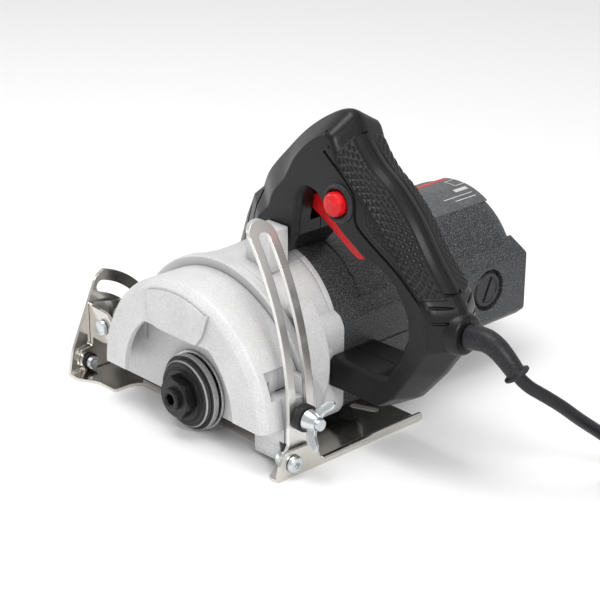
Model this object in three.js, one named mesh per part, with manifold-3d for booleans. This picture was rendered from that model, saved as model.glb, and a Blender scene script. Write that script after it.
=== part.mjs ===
// Hand-held stone and tile cutter: a motor and gear unit with a D-shaped handle, hinged on a sheet-metal
// base so that the cutting depth and the bevel can be set. Millimetres, +Z up.
// +X is the cutting direction and +Y is the blade side. The origin is under the blade spindle, at the
// underside of the base plate.
import * as THREE from 'three';
import { mergeVertices } from 'three/addons/utils/BufferGeometryUtils.js';
import Module from 'manifold-3d';

const wasm = await Module();
wasm.setup();

// Driving dimensions
const GAP = 0.3;
const SHEET = 1.6;                                  // base plate and its upturned ears
const SPINDLE = { x: 0, z: 21 };                    // blade spindle, along Y
const MOTOR = { x: -4.5, z: 46.1 };                 // motor axis, along Y
const BARREL_R = 43.4;
const SEAM_Y = -26;                                 // gear housing meets motor housing
const MOTOR_END = -165;
const BEVEL = { y: 25.4, z: 7 };                    // bevel hinge, along X
const PIVOT = { x: 80, z: 28.5 };                   // depth hinge, along Y
const ARM = { radius: 147.2, thick: 2, y0: 9.7, y1: 25.5, slot: 6.8 };
const QUADRANT = { r: 41, rest: 152, travel: 45 };  // bevel clamp stud and its slot, degrees about the hinge
const BASE = { x0: -71.2, x1: 93, y0: -62.5, bladeSide: 15 };
const GUARD = { r: 60.5, face: 38, wall: 24.5, back: 10.3, bottom: 22 };
const HANDLE = { y: -33, half: 17, chamfer: 2.5 };
const BRUSH_Y = -134;
const GEAR = { teeth: 34, pinionTeeth: 17, module: 1, y0: -16.5, y1: -7 };
const HOUSING_SCREWS = { rear: { x: -41, z: 14 }, front: { x: 32, z: 14 } };
const BOLT = { shank: 2.5, hole: 2.9 };             // hinge bolts of the bevel, radii
const STUD = { shank: 2.9, hole: 3.3 };             // clamp studs and depth hinge pin, radii
const CORD_D = 6.2;
const COIL = { x: -243, y: -95, inner: 21.4, outer: 53.1, z0: 1, z1: 13.8 };

// Finishes
const FINISH = {
  castSilver: [0xc9ccce, 0.6, 0.35],
  nickel: [0xb9b4aa, 0.18, 1],
  zinc: [0xc8cdd2, 0.3, 0.9],
  blackPlastic: [0x2b2c2e, 0.6, 0],
  softGrip: [0x1d1e20, 0.75, 0],
  redPlastic: [0xe3141b, 0.4, 0],
  blackSteel: [0x1e1f21, 0.35, 0.8],
  steel: [0x9a9da0, 0.35, 1],
  copper: [0xa8663c, 0.35, 0.9],
  laminate: [0x6e7174, 0.5, 0.7],
  brass: [0xb59a50, 0.3, 1],
  carbon: [0x303030, 0.7, 0.1],
  cordBlack: [0x232427, 0.55, 0],
};

// Solid helpers --------------------------------------------------------------------------------------

// A closed geometry as a solid, with its shared vertices merged and its faces pointing out.
function solid(geometry) {
  const bare = geometry.clone();
  for (const name of ['normal', 'uv']) bare.deleteAttribute(name);
  const merged = mergeVertices(bare, 1e-4);
  const points = merged.attributes.position.array;
  const corners = merged.index.array;
  const kept = [];
  let volume = 0;
  const a = new THREE.Vector3();
  const b = new THREE.Vector3();
  const c = new THREE.Vector3();
  for (let i = 0; i < corners.length; i += 3) {
    const [p, q, r] = [corners[i], corners[i + 1], corners[i + 2]];
    if (p === q || q === r || r === p) continue;
    kept.push(p, q, r);
    a.fromArray(points, 3 * p);
    b.fromArray(points, 3 * q);
    c.fromArray(points, 3 * r);
    volume += a.dot(b.cross(c));
  }
  if (volume < 0) {
    for (let i = 0; i < kept.length; i += 3) [kept[i], kept[i + 1]] = [kept[i + 1], kept[i]];
  }
  const mesh = new wasm.Mesh({
    numProp: 3,
    vertProperties: new Float32Array(points),
    triVerts: new Uint32Array(kept),
  });
  return new wasm.Manifold(mesh);
}

const join = (...parts) => parts.reduce((all, part) => all.add(part));
const cut = (body, ...tools) => tools.reduce((left, tool) => left.subtract(tool), body);

function geometryOf(body) {
  const { vertProperties, triVerts } = body.getMesh();
  const geometry = new THREE.BufferGeometry();
  geometry.setAttribute('position', new THREE.BufferAttribute(new Float32Array(vertProperties), 3));
  geometry.setIndex(new THREE.BufferAttribute(new Uint32Array(triVerts), 1));
  geometry.computeVertexNormals();
  return geometry;
}

// An outline with holes, extruded along one axis. Outlines are lists of [u, v].
function extrude(outline, depth, holes = []) {
  const shape = new THREE.Shape(outline.map(([u, v]) => new THREE.Vector2(u, v)));
  for (const hole of holes) {
    shape.holes.push(new THREE.Path(hole.map(([u, v]) => new THREE.Vector2(u, v))));
  }
  return new THREE.ExtrudeGeometry(shape, { depth, bevelEnabled: false });
}

const axes = (u, v, w) => new THREE.Matrix4().makeBasis(
  new THREE.Vector3(...u), new THREE.Vector3(...v), new THREE.Vector3(...w));
const TO_XZ = axes([1, 0, 0], [0, 0, 1], [0, -1, 0]);
const TO_YZ = axes([0, 1, 0], [0, 0, 1], [1, 0, 0]);

// Prisms: alongY takes [x, z] points, alongX takes [y, z] points, alongZ takes [x, y] points.
function alongY(outline, y0, y1, holes = []) {
  return solid(extrude(outline, y1 - y0, holes).applyMatrix4(TO_XZ).translate(0, y1, 0));
}
function alongX(outline, x0, x1, holes = []) {
  return solid(extrude(outline, x1 - x0, holes).applyMatrix4(TO_YZ).translate(x0, 0, 0));
}
function alongZ(outline, z0, z1, holes = []) {
  return solid(extrude(outline, z1 - z0, holes).translate(0, 0, z0));
}

function box(x0, x1, y0, y1, z0, z1) {
  const shape = new THREE.BoxGeometry(x1 - x0, y1 - y0, z1 - z0);
  return solid(shape.translate((x0 + x1) / 2, (y0 + y1) / 2, (z0 + z1) / 2));
}

// Rounds: a cylinder or cone between two stations, along Y about [x, z] or along X about [y, z].
function roundY({ x, z }, r0, y0, y1, r1 = r0, sides = 32) {
  const shape = new THREE.CylinderGeometry(r1, r0, y1 - y0, sides);
  return solid(shape.translate(x, (y0 + y1) / 2, z));
}
function roundX({ y, z }, r0, x0, x1, r1 = r0, sides = 24) {
  const shape = new THREE.CylinderGeometry(r1, r0, x1 - x0, sides).rotateZ(-Math.PI / 2);
  return solid(shape.translate((x0 + x1) / 2, y, z));
}
const ringY = (at, inner, outer, y0, y1, sides = 32) =>
  cut(roundY(at, outer, y0, y1, outer, sides), roundY(at, inner, y0 - 1, y1 + 1, inner, sides));
const ringX = (at, inner, outer, x0, x1, sides = 24) =>
  cut(roundX(at, outer, x0, x1, outer, sides), roundX(at, inner, x0 - 1, x1 + 1, inner, sides));

// A turned piece: a closed profile of [radius, y] about an axis along Y.
function turned({ x, z }, profile, sides = 36) {
  const points = [...profile, profile[0]].map(([r, y]) => new THREE.Vector2(r, y));
  return solid(new THREE.LatheGeometry(points, sides).translate(x, 0, z));
}

// Points on an arc, in degrees, about [cu, cv].
function arc(cu, cv, r, from, to, steps) {
  return Array.from({ length: steps + 1 }, (_, i) => {
    const t = THREE.MathUtils.degToRad(from + (to - from) * i / steps);
    return [cu + r * Math.cos(t), cv + r * Math.sin(t)];
  });
}

// A round-ended slot between two points.
function slotOutline([u0, v0], [u1, v1], width, steps = 6) {
  const turn = THREE.MathUtils.radToDeg(Math.atan2(v1 - v0, u1 - u0));
  const end = (u, v, from) => arc(u, v, width / 2, from, from + 180, steps);
  return [...end(u0, v0, turn + 90), ...end(u1, v1, turn - 90)];
}

// A slot of constant width along an arc, with round ends. Angles in degrees.
function curvedSlot(cu, cv, r, width, from, to) {
  const [[u0, v0]] = arc(cu, cv, r, from, from, 1);
  const [[u1, v1]] = arc(cu, cv, r, to, to, 1);
  const half = width / 2;
  return [
    ...arc(cu, cv, r + half, from, to, 8), ...arc(u1, v1, half, to, to + 180, 6).slice(1, -1),
    ...arc(cu, cv, r - half, to, from, 8), ...arc(u0, v0, half, from + 180, from + 360, 6).slice(1, -1),
  ];
}

// A body through a row of outlines of the same count, [[x, y, z], ...] each, closed by a fan at both ends.
function loft(...rings) {
  const n = rings[0].length;
  const middle = (ring) => ring.reduce((sum, p) => sum.map((s, k) => s + p[k] / n), [0, 0, 0]);
  const last = (rings.length - 1) * n;
  const points = [...rings.flat(), middle(rings[0]), middle(rings[rings.length - 1])];
  const faces = [];
  for (let i = 0; i < n; i += 1) {
    const j = (i + 1) % n;
    for (let row = 0; row < last; row += n) {
      const next = row + n;
      faces.push(row + i, row + j, next + j, row + i, next + j, next + i);
    }
    faces.push(last + n, j, i, last + n + 1, last + i, last + j);
  }
  const geometry = new THREE.BufferGeometry();
  geometry.setAttribute('position', new THREE.BufferAttribute(new Float32Array(points.flat()), 3));
  geometry.setIndex(faces);
  return solid(geometry);
}
const circleAt = ({ x, z }, r, y, sides = 44) =>
  arc(x, z, r, 0, 360 - 360 / sides, sides - 1).map(([u, v]) => [u, y, v]);

// A tube of round section that follows a list of points.
function tube(points, radius, steps, sides = 8, endRadius = radius) {
  const curve = new THREE.CatmullRomCurve3(points.map((p) => new THREE.Vector3(...p)), false, 'centripetal');
  const circle = arc(0, 0, radius, 0, 360 - 360 / sides, sides - 1);
  const section = new THREE.Shape(circle.map((p) => new THREE.Vector2(...p)));
  const geometry = new THREE.ExtrudeGeometry(section, { steps, extrudePath: curve, bevelEnabled: false });
  if (endRadius === radius) return solid(geometry);
  // Taper: every point is drawn towards the nearest point of the path, by how far along it lies.
  const places = curve.getSpacedPoints(4 * steps);
  const position = geometry.attributes.position;
  const p = new THREE.Vector3();
  for (let i = 0; i < position.count; i += 1) {
    p.fromBufferAttribute(position, i);
    const reach = places.map((q) => q.distanceTo(p));
    const best = reach.indexOf(Math.min(...reach));
    const share = 1 + (endRadius / radius - 1) * best / (places.length - 1);
    p.sub(places[best]).multiplyScalar(share).add(places[best]);
    position.setXYZ(i, p.x, p.y, p.z);
  }
  return solid(geometry);
}

const hexagon = (u, v, r, turn = 0) => arc(u, v, r, turn, turn + 300, 5);

// The object -----------------------------------------------------------------------------------------
const saw = new THREE.Group();

function add(name, body, finish) {
  const [color, roughness, metalness] = FINISH[finish];
  const mesh = new THREE.Mesh(geometryOf(body), new THREE.MeshStandardMaterial({ color, roughness, metalness }));
  mesh.name = name;
  saw.add(mesh);
}

// Base: one pressed sheet. The front ear carries the bevel scale slot, the rear ear the rear hinge bolt.
function basePlate() {
  const { x0, x1, y0, bladeSide } = BASE;
  const sole = alongZ([
    [x0, y0], [x1, y0], [x1, 36.5], [84, 36.5], [74, 31], [60, 31], [60, 20], [57, bladeSide],
    [-52, bladeSide], [-55, 17], [-65.5, 36], [x0, 36],
  ], 0, SHEET, [
    [[-24, -25], [24, -25], [24, -1.5], [-24, -1.5]],
    slotOutline([-39, -48], [-49, -52], 5),
  ]);
  const { y, z } = BEVEL;
  const scaleSlot = curvedSlot(y, z, QUADRANT.r, 6.8, QUADRANT.rest - QUADRANT.travel, QUADRANT.rest);
  const frontEar = alongX([
    [36.5, 0], [34, 14], [17, 52.5], ...arc(y, z, 50.5, 106, 166, 8), [-28, 0],
  ], x1 - SHEET, x1, [scaleSlot]);
  const rearEar = alongX([
    [36, 0], [34, 9], [31, 13], [28, 14.2], [13, 13.6], [9.5, 10], [7.5, 4], [4, 0],
  ], x0, x0 + SHEET);
  const hemR = 1.9;
  const hem = roundY({ x: x0 + SHEET, z: hemR }, hemR, y0 - 2, 6, hemR, 12);
  const boltHoles = roundX(BEVEL, BOLT.hole, x0 - 5, x1 + 5);
  return cut(join(sole, frontEar, rearEar, hem), boltHoles);
}

function hingeBolts() {
  const { x0, x1 } = BASE;
  const rear = join(
    roundX(BEVEL, 3.6, x0 - GAP - 2.6, x0 - GAP - 1.2, 4.6),
    roundX(BEVEL, 4.6, x0 - GAP - 1.2, x0 - GAP),
    roundX(BEVEL, BOLT.shank, x0 - GAP, -61.5, BOLT.shank, 16),
  );
  const front = join(
    roundX(BEVEL, 3.5, 84.4, 87.4),
    roundX(BEVEL, BOLT.shank, 87.4, x1 + 6.5, BOLT.shank, 16),
  );
  const socket = alongX(hexagon(BEVEL.y, BEVEL.z, 1.7), 83, 86.2);
  add('rear_bevel_bolt', rear, 'zinc');
  add('front_bevel_bolt', cut(front, socket), 'zinc');
  const nut = (a, b) => cut(alongX(hexagon(BEVEL.y, BEVEL.z, 4.5), a, b), roundX(BEVEL, 2.8, a - 1, b + 1));
  add('rear_bevel_nut', nut(-65.9, -62.4), 'zinc');
  add('front_bevel_nut', nut(x1 + GAP, x1 + 4.3), 'zinc');
}

// Cradle: the front bracket, the slotted depth arm and what joins them to the hinges.
const BRACKET = { x0: 89.1, x1: 91.1 };

function frontBracket() {
  const { y, z } = BEVEL;
  const stud = bevelStud();
  const plate = alongX([
    ...arc(y, z, 4.9, -90, 40, 5), [30.5, 14], [22.5, 15], [22.5, 39], [18, 39], [2, 36],
    ...arc(stud.y, stud.z, 8, 60, 200, 6), [-10, 8], [4, z - 4.9],
  ], BRACKET.x0, BRACKET.x1);
  const tab = alongY([
    [BRACKET.x1, 20], [BRACKET.x1, 38], [PIVOT.x, PIVOT.z + 9], ...arc(PIVOT.x, PIVOT.z, 9, 90, 270, 8),
  ], 20.5, 22.5);
  return cut(join(plate, tab),
    roundX(BEVEL, BOLT.hole, 88, 92), roundX(stud, STUD.hole, 88, 92),
    roundY(PIVOT, STUD.hole, 20, 23, STUD.hole, 20));
}

function bevelStud() {
  const t = THREE.MathUtils.degToRad(QUADRANT.rest);
  return { y: BEVEL.y + QUADRANT.r * Math.cos(t), z: BEVEL.z + QUADRANT.r * Math.sin(t) };
}

// The arm is a strip bent to an arc about the depth hinge, straight below it, with one long slot.
function depthArm() {
  const { radius, thick, y0, y1, slot } = ARM;
  const [inner, outer] = [radius - thick / 2, radius + thick / 2];
  const strip = alongY([
    ...arc(PIVOT.x, PIVOT.z, outer, 141, 180, 26), [PIVOT.x - outer, 0], [PIVOT.x - inner, 0],
    ...arc(PIVOT.x, PIVOT.z, inner, 180, 141, 26),
  ], y0, 32);
  const middle = (y0 + y1) / 2;
  const half = (y1 - y0) / 2;
  const crown = arc(middle, 0, half, 0, 180, 12).map(([u, v]) => [u, 113 + v * 0.8]);
  const slotTop = arc(middle, 0, slot / 2, 0, 180, 6).map(([u, v]) => [u, 111.6 + v * 0.8]);
  const slotEnd = arc(middle, PIVOT.z, slot / 2, 180, 360, 6);
  const outline = alongX([
    ...crown, [y0, 16], [13, 2.4], [BEVEL.y, 2.1], ...arc(BEVEL.y, BEVEL.z, 4.9, -90, 60, 6), [y1, 15],
  ], -80, 10, [[...slotTop, ...slotEnd]]);
  return cut(strip.intersect(outline), roundX(BEVEL, BOLT.hole, -75, -60));
}

// Gear housing: the cast body between the guard and the motor, open at the motor side.
function gearHousing() {
  const rimR = 65.6;
  const rim = roundY(SPINDLE, rimR, 4, 10, rimR, 64);
  const dome = loft(circleAt(SPINDLE, 65, 4), circleAt(MOTOR, BARREL_R + 0.6, SEAM_Y));
  const block = alongY([
    [-20, 8], [-48, 8], [-52.5, 14], [-52.5, 57], [-50, 61.5], [-40, 66], [-20, 66],
  ], SEAM_Y, 3);
  const frontBlock = alongY([
    [10, 8], [40, 8], [43.5, 14], [43.5, 57], [41, 61.5], [31, 66], [10, 66],
  ], SEAM_Y, 3);
  const body = join(rim, dome, block, frontBlock);
  const belowRim = box(-90, 90, -60, 20, -60, 3);
  const sump = roundY(SPINDLE, 20.2, -22, -3, 20.2, 40);
  const lug = alongY([[-23.2, 82], [-6, 84], [-6, 99], [-9, 104], [-23.2, 104]], -15.6, -3);
  const screwBosses = Object.values(HOUSING_SCREWS).map((at) => roundY(at, 8, SEAM_Y, 8, 8, 24));
  const screwHoles = Object.values(HOUSING_SCREWS).map((at) => roundY(at, 2.4, SEAM_Y - 1, -6, 2.4, 12));
  const pivotLug = alongY([
    [50, 20], ...arc(PIVOT.x, PIVOT.z, 7.6, -90, 90, 8), [66, 36.1], [50, 48],
  ], 6, 9.9);
  const shell = join(cut(body, belowRim), sump, lug, ...screwBosses, pivotLug);
  const hollow = join(
    loft(circleAt(SPINDLE, 54, -2, 36), circleAt(MOTOR, 40.9, SEAM_Y - 1, 36)),
    alongY([[-20, 14], [-44, 14], [-48.5, 18], [-48.5, 56], [-38, 62], [-20, 62]], SEAM_Y - 1, -2),
  );
  const keptFloor = cut(hollow, box(-90, 90, -60, 20, -60, 6.4));
  const gearWell = roundY(SPINDLE, 18.4, -20, -4.7, 18.4, 40);
  const nose = roundY(SPINDLE, 13.3, -3, 12, 13.3, 32);
  const saddle = cut(box(-24, 36, SEAM_Y - 1, -15.3, 60, 120), roundY(MOTOR, 44, -30, -10, 44, 44));
  const heelRoom = box(-70, -52.5, SEAM_Y - 1, -15.6, 20, 60);
  return cut(shell, keptFloor, gearWell, nose, saddle, heelRoom, ...screwHoles,
    roundY(PIVOT, STUD.hole, 4, 12, STUD.hole, 20));
}

// Blade guard: the half-round cover over the blade, with its rear lug that runs inside the depth arm.
function bladeGuard() {
  const { r, face, wall, back, bottom } = GUARD;
  const rearGrowth = (deg) => (deg > 117 ? 3 * (deg - 117) / 63 : 0);
  const rimLine = (inset, lowest) => {
    const from = THREE.MathUtils.radToDeg(Math.asin((lowest - SPINDLE.z) / r));
    return Array.from({ length: 37 }, (_, i) => {
      const deg = from + (180 - 2 * from) * i / 36;
      const t = THREE.MathUtils.degToRad(deg);
      const radius = r + rearGrowth(deg) - inset;
      return [SPINDLE.x + radius * Math.cos(t), Math.max(lowest, SPINDLE.z + radius * Math.sin(t))];
    });
  };
  const skirt = alongY(rimLine(0, 12), back, wall);
  const drum = alongY(rimLine(0, bottom), wall - 0.1, face - 3.5);
  const station = (points, y) => points.map(([x, z]) => [x, y, z]);
  const chamfer = loft(station(rimLine(0, bottom), face - 3.5), station(rimLine(3.5, bottom), face));
  const pad = alongY([
    [20, 58], [14, 54.4], [-16, 54.4], [-21, 61], [-25.5, 73], ...arc(SPINDLE.x, SPINDLE.z, 56.6, 114, 68, 8),
  ], face - 0.5, face + 1.2);
  const lugR = ARM.radius - ARM.thick / 2 - 2 * GAP;
  const lug = alongY([
    [-42, 3], [-70, 3], [-70, 46], [-50, 46], [-45, 42], [-42, 30],
  ], back, 24).intersect(roundY(PIVOT, lugR, 0, 40, lugR, 200));
  const bladeRoom = alongY([
    ...arc(SPINDLE.x, SPINDLE.z, r - 3, 0, 180, 30), [-r + 3, 0], [r - 3, 0],
  ], wall, face - 3);
  const archR = 41.5;
  const archSide = THREE.MathUtils.radToDeg(Math.asin((54.4 - SPINDLE.z) / archR));
  const opening = alongY([
    ...arc(SPINDLE.x, SPINDLE.z, archR, 0, archSide, 10),
    ...arc(SPINDLE.x, SPINDLE.z, archR, 180 - archSide, 180, 10), [-archR, 0], [archR, 0],
  ], face - 4, face + 4);
  const backRoom = cut(alongY([
    ...arc(SPINDLE.x, SPINDLE.z, r - 5, 5, 175, 24), [-40, 16], [40, 16],
  ], back - 1, 20.5), roundY(SPINDLE, 17, 0, 40, 17, 32));
  return cut(join(skirt, drum, chamfer, pad, lug), bladeRoom, opening, backRoom,
    roundY(SPINDLE, 13.3, 0, 21.3, 13.3, 32), roundY(SPINDLE, 7.5, 0, 40, 7.5, 24),
    box(-53 - 20, -53, 14, 30, 37, 50), box(-75, -60.2, 16, 30, 0, 14.5),
    roundX({ y: 17.6, z: PIVOT.z }, STUD.hole, -80, -50, STUD.hole, 16));
}

// Motor housing: the moulded barrel with a brush block on each side and cooling slots in its end.
function motorHousing() {
  const bore = BARREL_R - 2.5;
  const front = SEAM_Y - GAP;
  const shell = turned(MOTOR, [
    [bore, front], [BARREL_R, front], [BARREL_R, MOTOR_END + 12], [41.6, MOTOR_END + 4.5], [36.5, MOTOR_END],
    [0, MOTOR_END], [0, MOTOR_END + 2.5], [35.5, MOTOR_END + 2.5], [bore, MOTOR_END + 8],
  ], 48);
  const brushBlock = (side) => {
    const edge = MOTOR.x + side * 47.7;
    const outline = [
      [MOTOR.x + side * 30, 22], [edge - side * 6, 22], [edge, 27.5], [edge, 60], [edge - side * 10, 65.5],
      [MOTOR.x + side * 30, 70],
    ];
    return alongY(side > 0 ? outline : outline.reverse(), MOTOR_END + 1, front);
  };
  const fill = cut(join(brushBlock(-1), brushBlock(1)), roundY(MOTOR, bore + 0.4, -200, 0, bore + 0.4, 48));
  const floor = box(MOTOR.x - 17, MOTOR.x + 17, MOTOR_END + 1, front, 5.5, 8.5);
  const bearingSeat = ringY(MOTOR, 9.8, 12.6, MOTOR_END + 1, -149.4, 24);
  const below = box(-60, 60, -200, 0, -20, 5.5);
  const brushes = { y: BRUSH_Y, z: MOTOR.z };
  const tunnels = join(
    roundX(brushes, 8.2, -60, -30), roundX(brushes, 11.5, -60, -48.4),
    roundX(brushes, 8.2, 21, 51), roundX(brushes, 11.5, 39.4, 51),
  );
  const vents = [-24, -12, 12, 24].map((dx) =>
    box(MOTOR.x + dx - 2, MOTOR.x + dx + 2, MOTOR_END - 1, MOTOR_END + 3, MOTOR.z - 16, MOTOR.z + 16));
  const screws = Object.values(HOUSING_SCREWS);
  const towers = join(...screws.map((at) => roundY(at, 6.6, -45, front, 6.6, 20)));
  const screwWays = join(...screws.map((at) => roundY(at, 2.4, -60, 0, 2.4, 12)));
  const bosses = cut(towers, roundY(MOTOR, bore + 0.4, -200, 0, bore + 0.4, 48));
  return cut(join(shell, fill, floor, bearingSeat, bosses), below, tunnels, screwWays, ...vents);
}

function motorInternals() {
  const plate = roundY(MOTOR, 40.5, -31, SEAM_Y - 0.6, 40.5, 40);
  const cup = roundY(SPINDLE, 12.6, -27, -19.6, 12.6, 28);
  const belowFloor = box(-60, 60, -40, -10, -10, 8.8);
  const inlets = [40, 140].map((deg) => {
    const [[x, z]] = arc(MOTOR.x, MOTOR.z, 27, deg, deg, 1);
    return roundY({ x, z }, 5, -40, -20, 5, 12);
  });
  add('bearing_plate', cut(join(plate, cup), belowFloor, roundY(MOTOR, 11.3, -40, -20, 11.3, 28),
    roundY(SPINDLE, 9.8, -25.6, -18, 9.8, 24), ...inlets), 'castSilver');
  add('armature_bearing_front', ringY(MOTOR, 4.3, 11, -30.8, -24, 24), 'steel');
  add('armature_bearing_rear', ringY(MOTOR, 4.3, 9.5, -156, -149.6, 24), 'steel');
  add('spindle_bearing_rear', ringY(SPINDLE, 6.3, 9.5, -25.2, -20, 24), 'steel');
  add('spindle_bearing_front', ringY(SPINDLE, 6.3, 13, 13, 21, 28), 'steel');
  add('stator', ringY(MOTOR, 22.8, 36.5, -104, -52, 36), 'laminate');
}

// A spur gear outline: straight flanks at 20 degrees, thinned a little for backlash.
function toothed({ x, z }, teeth, turn) {
  const pitchR = GEAR.module * teeth / 2;
  const flank = Math.tan(THREE.MathUtils.degToRad(20));
  const half = 0.66 * GEAR.module;
  const [tip, root] = [0.8 * GEAR.module, GEAR.module];
  const points = [];
  for (let i = 0; i < teeth; i += 1) {
    const t = turn + 2 * Math.PI * i / teeth;
    for (const [r, w] of [[pitchR - root, -half - flank * root], [pitchR + tip, -half + flank * tip],
      [pitchR + tip, half - flank * tip], [pitchR - root, half + flank * root]]) {
      points.push([x + r * Math.cos(t + w / r), z + r * Math.sin(t + w / r)]);
    }
  }
  return points;
}

function rotors() {
  const line = Math.atan2(MOTOR.z - SPINDLE.z, MOTOR.x - SPINDLE.x);
  const { teeth, pinionTeeth, y0, y1 } = GEAR;
  const gear = alongY(toothed(SPINDLE, teeth, line), y0, y1);
  add('driven_gear', cut(gear, roundY(SPINDLE, 6.3, -30, 0, 6.3, 24)), 'steel');
  const spindle = roundY(SPINDLE, 6, -19.7 - 5, 33, 6, 24);
  add('spindle', cut(spindle, roundY(SPINDLE, 3.1, 12, 40, 3.1, 16)), 'steel');
  add('inner_flange', turned(SPINDLE, [
    [6.3, 26.6], [18.6, 26.6], [19.6, 27.4], [19.6, 30.3], [18.4, 30.9], [6.3, 30.9],
  ], 40), 'blackSteel');
  add('outer_flange', turned(SPINDLE, [
    [6.3, 31.2], [17.5, 31.2], [17.5, 32.6], [16, 34.2], [13.2, 34.2], [13.2, 35], [6.3, 35],
  ], 40), 'blackSteel');
  const head = alongY(hexagon(SPINDLE.x, SPINDLE.z, 11.3, 12), 35.3, 40.2);
  const bolt = join(head, roundY(SPINDLE, 5.8, 40, 43, 5.4, 24), roundY(SPINDLE, 2.8, 14, 36, 2.8, 16));
  add('flange_bolt', cut(bolt, alongY(hexagon(SPINDLE.x, SPINDLE.z, 3.3), 38, 50)), 'blackSteel');

  const meshing = line + Math.PI + Math.PI / pinionTeeth;
  const pinion = alongY(toothed(MOTOR, pinionTeeth, meshing), y0 - 1, y1 + 0.5);
  add('armature_shaft', join(pinion, roundY(MOTOR, 4, -159, y0, 4, 20)), 'steel');
  const onShaft = (outer, a, b, sides) => ringY(MOTOR, 4.3, outer, a, b, sides);
  add('armature_core', onShaft(22, -103, -53, 32), 'laminate');
  add('commutator', onShaft(12.5, -142, -124, 28), 'copper');
  const blades = Array.from({ length: 9 }, (_, i) => box(9, 31, -47, -38, -0.9, 0.9)
    .rotate([0, 40 * i, 0]).translate([MOTOR.x, 0, MOTOR.z]));
  add('cooling_fan', cut(join(onShaft(32, -49, -46.6, 32), onShaft(10, -49, -37, 20), ...blades),
    roundY(MOTOR, 4.3, -60, -30, 4.3, 20)), 'blackPlastic');
}

// Brush gear, one set on each side of the commutator: holder, carbon brush, spring and screw cap.
function brushGear(side, label) {
  const at = { y: BRUSH_Y, z: MOTOR.z };
  const span = (a, b) => (side < 0 ? [MOTOR.x - b, MOTOR.x - a] : [MOTOR.x + a, MOTOR.x + b]);
  const square = (a, b, w, h) => {
    const [x0, x1] = span(a, b);
    return box(x0, x1, at.y - w / 2, at.y + w / 2, at.z - h / 2, at.z + h / 2);
  };
  add(`brush_holder_${label}`, cut(square(15, 41, 9, 11), square(10, 50, 6, 8.4)), 'brass');
  add(`carbon_brush_${label}`, square(13, 27, 5.2, 7.6), 'carbon');
  const [s0, s1] = span(27.4, 43.8);
  add(`brush_spring_${label}`, ringX(at, 1.5, 2.5, s0, s1, 12), 'steel');
  const [c0, c1] = span(44.2, 47.2);
  const cap = roundX(at, 9.7, c0, c1);
  const slit = square(46.2, 49, 2, 13)
    .translate([0, -at.y, -at.z]).rotate([25, 0, 0]).translate([0, at.y, at.z]);
  add(`brush_cap_${label}`, cut(cap, slit), 'blackPlastic');
}

// Handle: two moulded halves that meet on the plane y = HANDLE.y, from the foot on the gear housing
// over the grip to the heel against the motor. Each station is its outer point, its inner point and
// how far the side face stands back from the outer edge.
const HANDLE_STATIONS = [
  [[31, 74.5], [-14, 84], 20], [[24.3, 94.6], [-22, 92.5], 20], [[18.8, 106.9], [-27.5, 100], 20],
  [[12, 112.5], [-28, 108], 20], [[7.4, 122], [-29.5, 115], 19], [[-5.9, 136.7], [-30, 120], 16],
  [[-20, 150.2], [-32, 124], 13], [[-33.9, 159.9], [-36, 126], 11.4], [[-45.4, 165.5], [-42, 124.5], 10],
  [[-52, 164.5], [-46, 120.5], 8], [[-58.5, 154], [-50.5, 115.8], 8], [[-67.5, 144.5], [-57.5, 110.2], 8],
  [[-80.8, 135.5], [-65, 105.2], 8], [[-94, 123], [-74, 100.4], 8], [[-107.5, 105.2], [-84, 98.6], 8],
  [[-119.4, 91], [-93, 93], 8], [[-124.5, 83], [-101, 81], 8], [[-124.8, 66], [-103, 70], 8],
  [[-113.2, 49.5], [-98.8, 59.5], 6], [[-98.4, 32.8], [-90, 46], 4], [[-87, 26], [-84, 44.5], 3],
  [[-52.8, 25.5], [-52.8, 44], 3],
];
const LOCK = { x: -57.4, z: 125 };
const TRIGGER_PIN = { x: -73, z: 108 };
const SCREWS = [{ x: 2, z: 108 }, { x: -96, z: 46 }];
const pinWay = (y0, y1) => roundY(TRIGGER_PIN, 1.8, y0, y1, 1.8, 12);

// One cross-section: the seam edge outside, a chamfer to each side face, a small chamfer inside.
function handleSection([[ox, oz], [ix, iz], inset]) {
  const { y, half, chamfer } = HANDLE;
  const depth = Math.hypot(ix - ox, iz - oz);
  const at = (share, side) => [ox + (ix - ox) * share, y + side, oz + (iz - oz) * share];
  const face = inset / depth;
  const inner = 1 - chamfer / depth;
  return [
    at(0, 2), at(face, half), at(inner, half), at(1, half - chamfer),
    at(1, chamfer - half), at(inner, -half), at(face, -half), at(0, -2),
  ];
}

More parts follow.
